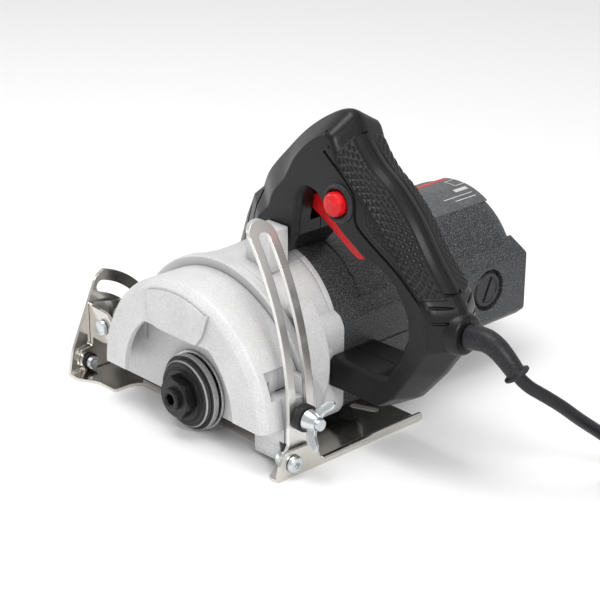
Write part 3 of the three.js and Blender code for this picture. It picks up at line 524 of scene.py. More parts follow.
# Bevel hinge. A short screw with a nut and a washer goes through each ear: zinc plated, with a rounded
# head at the rear and a socket head inside the front ear, under a black washer.
def zinc_colour(start, place):
    """Blue-white to plain white zinc, by noise."""
    tint = noise(start, place, 5, 4.0)
    return blended(start, tint, (0.56, 0.60, 0.63), (0.76, 0.78, 0.78))


def zinc_gloss(start, place):
    """A middle gloss plus a fine mottle of noise."""
    return 0.2 + 0.2 * noise(start, place, 1.6, 5.0, 0.6)


def zinc_relief(start, place):
    """Fine noise, as the plating's grain."""
    return noise(start, place, 0.9, 4.0)


zinc = finish("zinc_plate", zinc_colour, zinc_gloss, 1.0, zinc_relief, 0.03, edge=0.25)


def moulded_colour(low, high, size=1.1):
    """A moulded plastic's colour: two near tones, mixed in specks of the given size."""
    return lambda start, place: blended(start, noise(start, place, size, 2.0).above(0.55, 0.12), low, high)


def mould_gloss(middle, size=3.0):
    """A gloss that wanders a little either side of a middle value."""
    return lambda start, place: (middle - 0.08) + 0.16 * noise(start, place, size, 4.0)


def spark_relief(size):
    """The fine pits of a spark-eroded mould face: noise of the given size plus three-tenths of noise
    three times as large."""
    def relief(start, place):
        return noise(start, place, size, 2.0, 0.6) + 0.3 * noise(start, place, size * 3, 2.0)
    return relief


black_washer = finish(
    "black_washer", moulded_colour((0.012, 0.012, 0.013), (0.03, 0.03, 0.032), 0.6), mould_gloss(0.45),
    height=spark_relief(0.5), depth=0.03, edge=0.2,
)


PITCH, THREAD_DEPTH = 0.8, 0.35


def threaded(axis, centre, radius, low, high):
    """A screwed bar: the radius falls and rises by the thread's depth once in every pitch."""
    depth = THREAD_DEPTH
    station = np.arange(low, high - 0.1, PITCH / 4)
    swing = np.array([0, depth / 2, depth, depth / 2])[np.arange(len(station)) % 4]
    profile = [(0, low), *np.stack([radius - swing, station], axis=1), (radius - depth, high), (0, high)]
    return turned(axis, centre, profile, 40)


def hexagon(centre, radius, turn=0.0):
    """Six corners at a radius, 60 degrees apart, the first at a turn."""
    return arc(centre, radius, turn, turn + 300, 5)


def hex_nut(centre, radius, low, high, hole, turn=0.0, axis="x"):
    """A hexagon bar with its corners turned off in a cone at both ends, and a hole through it."""
    short, slope = 0.87 * radius, 0.26 * radius
    cone = turned(axis, centre, [
        (0, low), (short, low), (radius, low + slope), (radius, high - slope), (short, high), (0, high)])
    nut = shared(prism(axis, hexagon(centre, radius, turn), low, high), cone)
    return cut(nut, rod(axis, centre, hole, low - 1, high + 1, sides=32))


def bevel_hinge_hardware():
    """Both screws' heads as profiles turned round the hinge's axis, with their threads, sockets, nuts
    and washers."""
    x0, x1 = BASE_X
    rear_head = turned("x", BEVEL_HINGE, path_of(
        (0, x0 - 2.9), (2.2, x0 - 2.9), (3.6, x0 - 2.6), (4.3, x0 - 1.9), (4.6, x0 - 1.2), (4.6, x0 - 0.5),
        (4.4, x0 - GAP), (0, x0 - GAP)), 48)
    rear = joined(rear_head, threaded("x", BEVEL_HINGE, 2.5, x0 - GAP - 0.4, -61.5))
    rear = cut(rear, prism("x", hexagon(BEVEL_HINGE, 1.7), x0 - 4, x0 - 1.4))
    front_head = turned("x", BEVEL_HINGE, path_of(
        (0, 84.4), (3.1, 84.4), (3.5, 84.8), (3.5, 87.1), (3.2, 87.4), (0, 87.4)), 48)
    front = joined(front_head, threaded("x", BEVEL_HINGE, 2.5, 87, x1 + 6.5))
    front = cut(front, prism("x", hexagon(BEVEL_HINGE, 1.7), 83, 86.2))
    fitted(rear, "rear_hinge_screw", zinc, "base", "rear_bevel_bolt", slot="zinc_hardware")
    fitted(front, "front_hinge_screw", zinc, "base", "front_bevel_bolt", slot="zinc_hardware")
    for name, low, high in (("rear", -65.9, -62.4), ("front", x1 + GAP, x1 + 4.3)):
        nut = hex_nut(BEVEL_HINGE, 4.5, low, high, 2.8, 12)
        fitted(nut, f"{name}_hinge_nut", zinc, "base", f"{name}_bevel_nut", slot="zinc_hardware")
    washer = ring("x", BEVEL_HINGE, 2.8, 4.7, -69.3, -68.5, 0.15)
    fitted(washer, "rear_hinge_washer", zinc, "base", "rear_bevel_washer", slot="zinc_hardware")
    washer = ring("x", BEVEL_HINGE, 2.8, 4.6, 87.7, 88.8, 0.15)
    fitted(washer, "front_hinge_washer", black_washer, "base", "front_bevel_washer", slot="black_moulding")


bevel_hinge_hardware()


# Cradle. Two bright steel pressings tilt with the saw on the bevel hinge: the front bracket, with the
# pin that the depth hinge turns on, and the long arm at the rear, bent to an arc about that pin.
PIVOT = (80.0, 28.5)
BRACKET_X = (89.1, 91.1)
ARM_RADIUS, ARM_THICK, ARM_Y, ARM_SLOT = 147.2, 2.0, (9.7, 25.5), 6.8
quadrant_turn = math.radians(QUADRANT_REST)
BEVEL_STUD = (
    BEVEL_HINGE[0] + QUADRANT_R * math.cos(quadrant_turn),
    BEVEL_HINGE[1] + QUADRANT_R * math.sin(quadrant_turn),
)


def front_bracket():
    """A flat outline with a round eye at the bevel hinge and at the wing screw, and a tab with a round
    end at the depth hinge, less the three holes."""
    y, z = BEVEL_HINGE
    plate = prism("x", eased(path_of(
        arc(BEVEL_HINGE, 4.9, -90, 40), (30.5, 14), (22.5, 15), (22.5, 39), (18, 39), (2, 36),
        arc(BEVEL_STUD, 8, 60, 200), (-10, 8), (4, z - 4.9),
    ), 1.5, 4), *BRACKET_X)
    tab = prism("y", eased(path_of(
        (BRACKET_X[1], 20), (BRACKET_X[1], 38), (PIVOT[0], PIVOT[1] + 9), arc(PIVOT, 9, 90, 270),
    ), 0.6, 3), 20.5, 22.5)
    return cut(
        joined(plate, tab), rod("x", BEVEL_HINGE, 2.9, 88, 92), rod("x", BEVEL_STUD, 3.3, 88, 92),
        rod("y", PIVOT, 3.3, 20, 23),
    )


def depth_arm():
    """A strip between two arcs about the depth hinge, trimmed to the arm's outline as seen along x, less
    a round-ended slot."""
    inner, outer = ARM_RADIUS - ARM_THICK / 2, ARM_RADIUS + ARM_THICK / 2
    y0, y1 = ARM_Y
    strip = prism("y", path_of(
        arc(PIVOT, outer, 141, 180, 90), (PIVOT[0] - outer, 0), (PIVOT[0] - inner, 0),
        arc(PIVOT, inner, 180, 141, 90),
    ), y0, 32)
    middle, half = (y0 + y1) / 2, (y1 - y0) / 2
    squat = np.array([1.0, 0.8])
    crown = arc((middle, 0), half, 0, 180, 36) * squat + (0, 113)
    slot_top = arc((middle, 0), ARM_SLOT / 2, 0, 180, 24) * squat + (0, 111.6)
    slot_end = arc((middle, PIVOT[1]), ARM_SLOT / 2, 180, 360, 24)
    outline = prism("x", path_of(
        crown, eased([(y0, 40), (y0, 16), (13, 2.4), (BEVEL_HINGE[0], 2.1)], 1.2)[5:15],
        arc(BEVEL_HINGE, 4.9, -90, 60, 20), (y1, 15),
    ), -80, 10)
    return cut(
        shared(strip, outline), prism("x", path_of(slot_top, slot_end), -85, 15),
        rod("x", BEVEL_HINGE, 2.9, -75, -60),
    )


def brushed_gloss(start, place):
    """Fine lines rolled along the strip, and a dull patch where the wing nut slides."""
    lines = start.node("Mapping", {}, {"Vector": place, "Scale": (1.0, 1.0, 0.05)})
    return 0.24 + 0.16 * noise(start, lines, 0.35, 4.0) + 0.08 * noise(start, place, 14).above(0.55, 0.1)


def brushed_relief(start, place):
    """Noise drawn out along the strip."""
    lines = start.node("Mapping", {}, {"Vector": place, "Scale": (1.0, 1.0, 0.05)})
    return noise(start, lines, 0.5, 3.0)


def brushed_colour(start, place):
    """Pale nickel between two tones, by slow noise."""
    return blended(start, noise(start, place, 22), (0.76, 0.745, 0.715), (0.88, 0.865, 0.84))


rolled_nickel = finish(
    "rolled_nickel", brushed_colour, brushed_gloss, 1.0, brushed_relief, 0.025, edge=0.3)
fitted(front_bracket(), "front_bracket_plate", nickel, "cradle", "front_bracket", slot="nickel_sheet")
fitted(depth_arm(), "depth_arm_strip", rolled_nickel, "cradle", "depth_arm", slot="nickel_sheet")
pivot_pin = joined(
    turned("y", PIVOT, path_of((0, 22.8), (4.6, 22.8), (4.6, 23.8), (4.2, 24.6), (3.4, 25), (0, 25)), 48),
    rod("y", PIVOT, 2.9, 4, 23, 0.4),
)
fitted(pivot_pin, "depth_hinge_pin", zinc, "cradle", "depth_pivot_bolt", slot="zinc_hardware")


# Gear housing. An aluminium casting painted silver, between the guard and the motor: a broad rim behind
# the guard, a dome that narrows to the motor, cast bosses for its screws and a lug for the depth hinge.
SPINDLE, MOTOR = (0.0, 21.0), (-4.5, 46.1)
BARREL_R, SEAM_Y = 43.4, -26.0
SCREWS = {"rear": (-41.0, 14.0), "front": (32.0, 14.0)}


def circle_at(centre, radius, y, sides=180):
    """A ring of points in the plane at y."""
    turn = np.linspace(0, 2 * np.pi, sides, endpoint=False)
    x, z = centre[0] + radius * np.cos(turn), centre[1] + radius * np.sin(turn)
    return np.stack([x, np.full(sides, y), z], axis=1)


def cast_colour(start, place):
    """Silver paint between a dark and a pale grey, by patches plus sand grain, with painted shade that
    darkens the hollows.
    """
    patch = noise(start, place, 18, 4.0)
    # Painted shade: ambient occlusion darkens the paint's colour in hollows, creases and between parts.
    hollow = start.node("AmbientOcclusion", {"samples": 8}, {"Distance": 7 * MM}, output="AO")
    grain = 0.3 * patch + 0.5 * noise(start, place, 0.9, 2.0, 0.7)
    return blended(start, (0.3 + grain) * hollow, (0.16, 0.162, 0.166), (0.86, 0.862, 0.86))


def cast_relief(start, place):
    """Sand grain under paint: fine noise plus a quarter of slow waviness."""
    return noise(start, place, 0.7, 3.0, 0.6) + 0.25 * noise(start, place, 7, 1.0)


cast_silver = finish(
    "cast_silver", cast_colour, lambda s, p: 0.42 + 0.2 * noise(s, p, 1.0, 2.0), 0.12, cast_relief, 0.09,
    edge=0.3,
)


RIM_R, RIM_LOW, RIM_HIGH = 65.6, 4.0, 10.0
DOME_R, DOME_HOLLOW = 65.0, 1.4


def gear_housing():
    """A rim, and a dome of rings whose centres and radii go evenly from the spindle's to the motor's,
    drawn in by a half sine. The blocks, lug, rib and bosses are added, and then it is hollowed."""
    rim = turned("y", SPINDLE, path_of(
        (0, RIM_LOW), (RIM_R - 0.8, RIM_LOW), (RIM_R, RIM_LOW + 0.8), (RIM_R, RIM_HIGH - 0.8),
        (RIM_R - 0.8, RIM_HIGH), (0, RIM_HIGH)), 160)
    shares = np.linspace(0, 1, 13)
    swell = DOME_HOLLOW * np.sin(np.pi * shares)
    dome = stacked([circle_at(
        (SPINDLE[0] + (MOTOR[0] - SPINDLE[0]) * s, SPINDLE[1] + (MOTOR[1] - SPINDLE[1]) * s),
        DOME_R + (BARREL_R + 0.6 - DOME_R) * s - w, RIM_LOW + (SEAM_Y - RIM_LOW) * s,
    ) for s, w in zip(shares, swell)])
    rear_outline = [(-20, 8), (-48, 8), (-52.5, 14), (-52.5, 57), (-50, 61.5), (-40, 66), (-20, 66)]
    front_outline = [(10, 8), (40, 8), (43.5, 14), (43.5, 57), (41, 61.5), (31, 66), (10, 66)]
    block, front_block = (
        prism("y", eased(outline, 3), SEAM_Y, 3) for outline in (rear_outline, front_outline))
    collar = ring("y", MOTOR, 38, BARREL_R + 1.3, SEAM_Y, SEAM_Y + 3.2, 0.8, 120)
    body = cut(joined(rim, dome, block, front_block, collar), slab(-90, 90, -60, 20, -60, 3))
    lug_outline = eased([(-23.2, 82), (-6, 84), (-6, 99), (-9, 104), (-23.2, 104)], 1.0)
    lug = softened(prism("y", lug_outline, -15.6, -3), 0.5)
    pivot_lug = prism("y", path_of((50, 20), arc(PIVOT, 7.6, -90, 90), (66, 36.1), (50, 48)), 6, 9.9)
    rib = prism("y", path_of(arc((-20, 44), 41, 130, 205, 40), arc((-20, 44), 38.2, 205, 130, 40)), -8, 5)
    rear_web = prism("x", [(-14, 50), (6, 58), (6, 55), (-14, 46.5)], -56, -40)
    bosses = [rod("y", at, 8, SEAM_Y, 8, 0.8) for at in SCREWS.values()]
    shell = joined(body, rod("y", SPINDLE, 20.2, -22, -3, 1.0), lug, pivot_lug, rib, rear_web, *bosses)
    hollow = joined(
        stacked([circle_at(SPINDLE, 54, -2), circle_at(MOTOR, 40.9, SEAM_Y - 1)]),
        prism("y", [(-20, 14), (-44, 14), (-48.5, 18), (-48.5, 56), (-38, 62), (-20, 62)], SEAM_Y - 1, -2),
    )
    hollow = cut(hollow, slab(-90, 90, -60, 20, -60, 6.4))
    saddle = cut(slab(-24, 36, SEAM_Y - 1, -15.3, 60, 120), rod("y", MOTOR, 44, -30, -10, sides=160))
    return cut(
        shell, hollow, rod("y", SPINDLE, 18.4, -20, -4.7), rod("y", SPINDLE, 13.3, -3, 12),
        slab(-90, 90, -60, 20, -60, 0.9), slab(-70, -52.5, SEAM_Y - 1, -15.6, 20, 60), saddle,
        rod("y", PIVOT, 3.3, 4, 12), *[rod("y", at, 2.4, SEAM_Y - 1, -6) for at in SCREWS.values()],
        slab(-90, 90, SEAM_Y - 9, SEAM_Y, -60, 120),
    )


fitted(gear_housing(), "gear_case", cast_silver, "saw", "gear_housing", slot="cast_silver")


# Blade guard. The same silver casting over the upper half of the disc: a drum with a chamfered face, an
# arched opening round the flanges, a raised blank pad above it, and a lug at the rear behind the arm.
GUARD_R, GUARD_FACE, GUARD_WALL, GUARD_BACK, GUARD_BOTTOM = 60.5, 38.0, 24.5, 10.3, 22.0
ARCH_R, PAD_LOW = 41.5, 54.4


def rim_line(y, inset, lowest, steps=150):
    """The guard's outer line in the plane at y: a half circle that grows 3 mm past 117 degrees, drawn
    in by an inset and stopped at its lowest level."""
    start = math.degrees(math.asin((lowest - SPINDLE[1]) / GUARD_R))
    turn = np.linspace(start, 180 - start, steps)
    radius = GUARD_R + np.where(turn > 117, 3 * (turn - 117) / 63, 0) - inset
    x = SPINDLE[0] + radius * np.cos(np.radians(turn))
    z = np.maximum(lowest, SPINDLE[1] + radius * np.sin(np.radians(turn)))
    return np.stack([x, np.full(steps, y), z], axis=1)


def flat_of(line):
    """The x and z of a line's points."""
    return line[:, [0, 2]]


def blade_guard():
    """The outer line stacked from the wall to the face and drawn in along the chamfer, with the skirt,
    lug, pad and webs added, less the disc's room and an arched opening."""
    wall, face, back_y = GUARD_WALL, GUARD_FACE, GUARD_BACK
    skirt = prism("y", flat_of(rim_line(0, 0, 12)), back_y, wall)
    drum = stacked([rim_line(y, inset, GUARD_BOTTOM) for y, inset in (
        (wall - 0.1, 0), (face - 4.6, 0), (face - 3.9, 0.2), (face - 3.2, 0.75), (face - 0.7, 3.1),
        (face - 0.2, 3.8), (face, 4.6),
    )])
    pad_outline = eased(path_of(
        (20, 58), (14, PAD_LOW), (-16, PAD_LOW), (-21, 61), (-25.5, 73),
        arc(SPINDLE, 55.4, 114, 68, 24),
    ), 1.2, 4)
    pad = softened(prism("y", pad_outline, face - 0.5, face + 1.2), 0.25)
    lug_radius = ARM_RADIUS - ARM_THICK / 2 - 2 * GAP
    lug = shared(
        prism("y", eased([
            (-42, 3), (-70, 3), (-70, 46), (-50, 46), (-45, 42), (-42, 30)], 1.5), back_y, 24),
        rod("y", PIVOT, lug_radius, 0, 40, sides=400),
    )
    blade_room = prism("y", path_of(
        arc(SPINDLE, GUARD_R - 3, 0, 180, 90), (-GUARD_R + 3, 0), (GUARD_R - 3, 0)), wall, face - 3)
    side = math.degrees(math.asin((PAD_LOW - SPINDLE[1]) / ARCH_R))
    opening = prism("y", path_of(
        arc(SPINDLE, ARCH_R, 0, side, 40), arc(SPINDLE, ARCH_R, 180 - side, 180, 40),
        (-ARCH_R, 0), (ARCH_R, 0),
    ), face - 4, face + 4)
    back_room = cut(prism("y", path_of(
        arc(SPINDLE, GUARD_R - 5, 5, 175, 90), (-40, 16), (40, 16)), back_y - 1, 20.5),
        rod("y", SPINDLE, 17, 0, 40))
    body = cut(joined(skirt, drum, lug), blade_room, opening, back_room)
    web = np.array([(-1.1, -1), (1.1, -1), (1.1, 14), (-1.1, 14)])
    webs = [
        prism("y", arc(SPINDLE, ARCH_R + 1.5, turn, turn, 1)[:1] + web, wall - 1, wall + 1.2)
        for turn in (22, 48, 75, 105, 132)
    ]
    body = joined(body, pad, *webs)
    return cut(
        body, rod("y", SPINDLE, 13.3, 0, 21.3), rod("y", SPINDLE, 7.5, 0, 40),
        slab(-73, -53, 14, 30, 37, 50), slab(-75, -60.2, 16, 30, 0, 14.5),
        rod("x", (17.6, PIVOT[1]), 3.3, -80, -50),
    )


fitted(blade_guard(), "guard_casting", cast_silver, "saw", "blade_guard", slot="cast_silver")


# Spindle seal. A thin ring of bright steel, turned on a lathe. It is pressed over the front bearing and
# keeps slurry out, behind the flanges.
def offsets(start, place, centre=(0, 0)):
    """How far a point is from a centre along x and along z, in metres."""
    split = start.node("SeparateXYZ", {}, {"Vector": place}).socket.node
    return [Signal(start.tree, split.outputs[i]) - c * MM for i, c in zip((0, 2), centre)]


def distance(start, place, centre):
    """A point's distance from an axis along y: the root of x squared plus z squared."""
    x, z = offsets(start, place, centre)
    return start.maths("SQRT", x * x + z * z)


def turned_relief(centre, pitch):
    """Rings left by the lathe: half a sine of the distance from the axis, plus noise."""
    def relief(start, place):
        wave = start.maths("SINE", distance(start, place, centre) * (2 * math.pi / (pitch * MM)))
        return wave * 0.5 + noise(start, place, 1.5)
    return relief


bright_steel = finish(
    "bright_steel", lambda s, p: blended(s, noise(s, p, 4), (0.50, 0.50, 0.51), (0.66, 0.66, 0.67)),
    lambda s, p: 0.2 + 0.18 * noise(s, p, 2.5, 4.0), 1.0, turned_relief(SPINDLE, 0.45), 0.02, edge=0.25,
)
cover = turned("y", SPINDLE, eased([
    (7.5, GUARD_WALL + GAP), (20.7, GUARD_WALL + GAP), (20.7, 26.2), (19.0, 26.2), (18.2, 25.7), (7.5, 25.7),
], 0.25), 110)
fitted(cover, "seal_ring", bright_steel, "saw", "bearing_cover", slot="bright_steel")


# Spindle flanges. Two turned and blackened steel discs clamp the blade, held by a left-hand hexagon
# screw with a socket. The inner flange's rim is bright bare metal, and the outer flange's chamfer carries a
# painted highlight.
def blackened_colour(start, place):
    """Black, with bare bright metal at the inner flange's rim, and a bright band painted round the outer
    flange's chamfer as a highlight, both by the distance from the spindle.
    """
    reach = distance(start, place, SPINDLE) * 1000
    # Painted highlight: the band from 16.9 to 17.4 mm lights the outer flange's chamfer; the band past 19.35
    # mm is the bare rim.
    bare_rim_and_chamfer_highlight = reach.above(16.9, 0.3) * (1 - reach.above(17.4, 0.2)) + reach.above(19.35, 0.1)
    bare_rim_and_chamfer_highlight = bare_rim_and_chamfer_highlight * (0.5 + noise(start, place, 1.4, 4.0))
    return blended(start, bare_rim_and_chamfer_highlight, (0.010, 0.010, 0.011), (0.5, 0.5, 0.5))


black_steel = finish(
    "black_steel", blackened_colour, lambda s, p: 0.26 + 0.18 * noise(s, p, 2.2, 4.0), 0.3,
    turned_relief(SPINDLE, 0.5), 0.02, edge=0.3,
)
inner_flange = turned("y", SPINDLE, eased([
    (6.3, 26.6), (18.6, 26.6), (19.6, 27.4), (19.6, 30.3), (18.4, 30.9), (6.3, 30.9)], 0.3), 120)
outer_flange = turned("y", SPINDLE, eased([
    (6.3, 31.2), (17.5, 31.2), (17.5, 32.6), (16, 34.2), (14.4, 34.2), (14.0, 33.8), (13.6, 34.2),
    (13.2, 34.2), (13.2, 35), (6.3, 35)], 0.25), 120)
fitted(inner_flange, "flange_back", black_steel, "spindle_set", "inner_flange", slot="black_steel")
fitted(outer_flange, "flange_front", black_steel, "spindle_set", "outer_flange", slot="black_steel")


def flange_screw():
    """A hexagon head shared with a turned profile that cuts its corners, a boss and a shank, less the
    socket and its lead-in."""
    head = shared(
        prism("y", hexagon(SPINDLE, 11.3, 12), 35.3, 40.2),
        turned("y", SPINDLE, [(0, 35.3), (11.3, 35.3), (11.3, 38.9), (9.9, 40.2), (0, 40.2)], 90),
    )
    boss = turned("y", SPINDLE, [(0, 40), (5.8, 40), (5.8, 42.3), (5.2, 43), (0, 43)], 60)
    whole = joined(head, boss, rod("y", SPINDLE, 2.8, 14, 36))
    return cut(whole, prism("y", hexagon(SPINDLE, 3.3), 38, 50),
               turned("y", SPINDLE, [(0, 42.4), (3.3, 42.4), (4.1, 43.2), (0, 43.2)], 60))


fitted(flange_screw(), "flange_screw", black_steel, "spindle_set", "flange_bolt", slot="black_steel")


# Motor housing. One glass-filled nylon moulding with a sparkling eroded texture: a barrel with flat
# brush blocks on both sides, air slots in the end, and ribs and mould lines along it.
MOTOR_END = -165.0
BRUSH_Y = -134.0
FRONT = SEAM_Y - GAP


def speckled_colour(start, place):
    """Near-black nylon with pale glints painted into its colour, as highlights off the mould's grain."""
    # Painted highlight: pale specks stand in for glints of light off the eroded texture.
    painted_glint = noise(start, place, 0.55, 2.0, 0.7).above(0.56, 0.1)
    return blended(start, painted_glint, (0.014, 0.0145, 0.016), (0.15, 0.153, 0.16))


motor_nylon = finish(
    "motor_nylon", speckled_colour, mould_gloss(0.4, 0.9), height=spark_relief(0.55), depth=0.12, edge=0.6,
)


def motor_housing():
    """The barrel's wall as a profile turned round the motor's axis, with a side block on each side, screw
    towers and a flat sole, less the bore, the brush ways, the screw holes and six slots in its end."""
    bore = BARREL_R - 2.5
    x, z = MOTOR
    shell = turned("y", MOTOR, path_of(
        (bore, FRONT), (BARREL_R - 0.5, FRONT), (BARREL_R, FRONT - 0.5), (BARREL_R, -44),
        (BARREL_R - 0.5, -44.4), (BARREL_R - 0.5, -45.4), (BARREL_R, -45.8), (BARREL_R, MOTOR_END + 13),
        (42.9, MOTOR_END + 9),
        (41.6, MOTOR_END + 4.9), (40, MOTOR_END + 2.6), (37.6, MOTOR_END + 0.5), (36, MOTOR_END),
        (0, MOTOR_END), (0, MOTOR_END + 2.5), (35.5, MOTOR_END + 2.5), (bore, MOTOR_END + 8),
    ), 180)
    inside = rod("y", MOTOR, bore + 0.4, -200, 0, sides=160)
    sides = []
    for side in (-1, 1):
        edge = x + side * 47.7
        outline = eased([
            (x + side * 30, 22), (edge - side * 6, 22), (edge, 27.5), (edge, 60), (edge - side * 10, 65.5),
            (x + side * 30, 70)], 1.6)
        block = prism("y", outline, MOTOR_END + 1, FRONT)
        groove = prism("y", [
            (edge - side * 0.6, 41), (edge + side, 41), (edge + side, 42), (edge - side * 0.6, 42),
        ], -112, FRONT - 4)
        notch = prism("y", [
            (edge - side * 7, 64.5), (edge - side * 1.5, 62.6), (edge + side * 3, 66), (edge - side * 4, 70),
        ], -170, -150)
        sides.append(cut(block, groove, notch))
    towers = [rod("y", at, 6.6, -45, FRONT, 0.8) for at in SCREWS.values()]
    fill = cut(joined(*sides, *towers), inside)
    seat = ring("y", MOTOR, 9.8, 12.6, MOTOR_END + 1, -149.4)
    below = slab(-60, 60, -200, 0, -20, 5.5)
    floor_plate = slab(x - 17, x + 17, MOTOR_END + 1, FRONT, 5.5, 8.5)
    brushes = (BRUSH_Y, z)
    ways = [rod("x", brushes, 8.2, -60, -30), rod("x", brushes, 11.5, -60, -48.4),
            rod("x", brushes, 8.2, 21, 51), rod("x", brushes, 11.5, 39.4, 51)]
    ways += [rod("y", at, 2.4, -60, 0) for at in SCREWS.values()]
    slots = []
    for shift in (-24, -16, -8, 8, 16, 24):
        tall = 16 - 0.1 * abs(shift)
        outline = slot((x + shift, z - tall), (x + shift, z + tall), 3.4)
        slots.append(prism("y", outline, MOTOR_END - 1, MOTOR_END + 3))
    return cut(joined(shell, fill, floor_plate, seat), below, *ways, *slots)


fitted(motor_housing(), "motor_shell", motor_nylon, "saw", "motor_housing", slot="black_moulding")


# Sticker. A thin grey plastic film glued on the barrel behind the handle, with a red strip along its
# edge. It carries no words, only a plain bar, a ruled box and two lines.
def layered(name, outside, inside):
    """A closed sheet between two grids of points of the same size, with walls round their borders."""
    rows, columns = outside.shape[:2]
    count = rows * columns
    quads = grid_faces(rows, columns, wrap_columns=False)
    grid = np.arange(count).reshape(rows, columns)
    border = np.concatenate([grid[0], grid[1:, -1], grid[-1, -2::-1], grid[-2:0:-1, 0]])
    after = np.roll(border, -1)
    walls = np.stack([border, after, after + count, border + count], axis=1)
    points = np.vstack([outside.reshape(-1, 3), inside.reshape(-1, 3)])
    return blank(name, points, [*quads, *(quads[:, ::-1] + count), *walls])


def sticker(name, start_turn, end_turn, y0, y1, lift_mm, material):
    """A patch of the barrel: its radius plus a lift, over a span of angle and of length."""
    rows, columns = 12, 40
    turn = np.radians(np.linspace(start_turn, end_turn, columns))[None, :]
    station = np.linspace(y0, y1, rows)[:, None]
    layers = []
    for radius in (BARREL_R + lift_mm, BARREL_R - 0.2):
        x, z = MOTOR[0] + radius * np.cos(turn), MOTOR[1] + radius * np.sin(turn)
        layers.append(np.stack(np.broadcast_arrays(x, station, z), axis=-1))
    return fitted(layered(name, *layers), name, material, "saw", slot="black_moulding")


film = finish(
    "sticker_film", moulded_colour((0.085, 0.087, 0.09), (0.12, 0.122, 0.126), 2.0), mould_gloss(0.38),
    height=spark_relief(0.8), depth=0.02, edge=0.1,
)
line_ink = finish(
    "sticker_line", moulded_colour((0.5, 0.5, 0.5), (0.62, 0.62, 0.62), 0.8), mould_gloss(0.4),
    height=spark_relief(0.6), depth=0.01, edge=0,
)
red_ink = finish(
    "sticker_red", moulded_colour((0.55, 0.012, 0.016), (0.66, 0.02, 0.024), 2.0), mould_gloss(0.36),
    height=spark_relief(0.8), depth=0.02, edge=0.1,
)
sticker("sticker_base", 76, 120, -160, -96, 0.12, film)
sticker("sticker_strip", 77.5, 82, -158, -104, 0.2, red_ink)
sticker("sticker_bar", 100.5, 104, -157, -147, 0.2, line_ink)
RULES = ((86, -160, -152), (96, -160, -152), (108, -156, -134), (112, -156, -140))
for number, (angle, low, high) in enumerate(RULES):
    sticker(f"sticker_rule_{number + 1}", angle, angle + 0.7, low, high, 0.2, line_ink)
for number, station in enumerate((-160, -152.5)):
    sticker(f"sticker_side_{number + 1}", 86, 96.7, station, station + 0.5, 0.2, line_ink)


# Brush caps. A slotted round cap of black nylon screws into each side block, over its carbon brush and
# the brush's spring.
cap_nylon = finish(
    "cap_nylon", moulded_colour((0.016, 0.016, 0.018), (0.04, 0.04, 0.044), 0.6), mould_gloss(0.38),
    height=spark_relief(0.5), depth=0.04, edge=0.4,
)
CAP_TURN = 115


def brush_cap(side):
    """A stepped disc as a profile turned round the brush's axis, less a slot at an angle."""
    low, high = MOTOR[0] + side * 44.2, MOTOR[0] + side * 47.2
    at = (BRUSH_Y, MOTOR[1])
    cap = turned("x", at, path_of(
        (0, low), (9.7, low), (9.7, high - side * 0.7), (9.0, high), (7.4, high), (7.0, high - side * 0.5),
        (0, high - side * 0.5)), 90)
    slit = prism("x", slot((-6.2, 0), (6.2, 0), 2.0), *sorted((high - side * 1.6, high + side)))
    place = (
        Matrix.Translation((0, at[0] * MM, at[1] * MM)) @ Matrix.Rotation(math.radians(CAP_TURN), 4, "X")
    )
    slit.data.transform(place)
    return cut(cap, slit)


for side, label in ((-1, "rear"), (1, "front")):
    name, node = f"brush_cover_{label}", f"brush_cap_{label}"
    fitted(brush_cap(side), name, cap_nylon, "saw", node, slot="black_moulding")


# Handle. Two moulded halves meet on one plane and are screwed together, from the foot that grips the
# gear housing, over the grip and the crest, down to the heel against the motor.
HANDLE_Y, HANDLE_HALF = -33.0, 17.0
HANDLE_STATIONS = [
    (31, 74.5, -14, 84, 20), (24.3, 94.6, -22, 92.5, 20), (18.8, 106.9, -27.5, 100, 20),
    (12, 112.5, -28, 108, 20), (7.4, 122, -29.5, 115, 19), (-5.9, 136.7, -30, 120, 16),
    (-20, 150.2, -32, 124, 13), (-33.9, 159.9, -36, 126, 11.4), (-45.4, 165.2, -42, 124.5, 10),
    (-52, 164.3, -46, 120.5, 8), (-58.5, 154, -50.5, 115.8, 8), (-67.5, 144.5, -57.5, 110.2, 8),
    (-80.8, 135.5, -65, 105.2, 8), (-94, 123, -74, 100.4, 8), (-107.5, 105.2, -84, 98.6, 8),
    (-119.4, 91, -93, 93, 8), (-124.5, 83, -101, 81, 8), (-124.8, 66, -103, 70, 8),
    (-113.2, 49.5, -98.8, 59.5, 6), (-98.4, 32.8, -90, 46, 4), (-87, 26, -84, 44.5, 3),
    (-52.8, 25.5, -52.8, 44, 3),
]
LOCK, TRIGGER_PIN = (-57.4, 125.0), (-73.0, 108.0)
HANDLE_SCREWS = [(2.0, 108.0), (-96.0, 46.0)]
COLUMNS = 7
SEAM_LIP, INNER_STEP = 2.0, 2.5


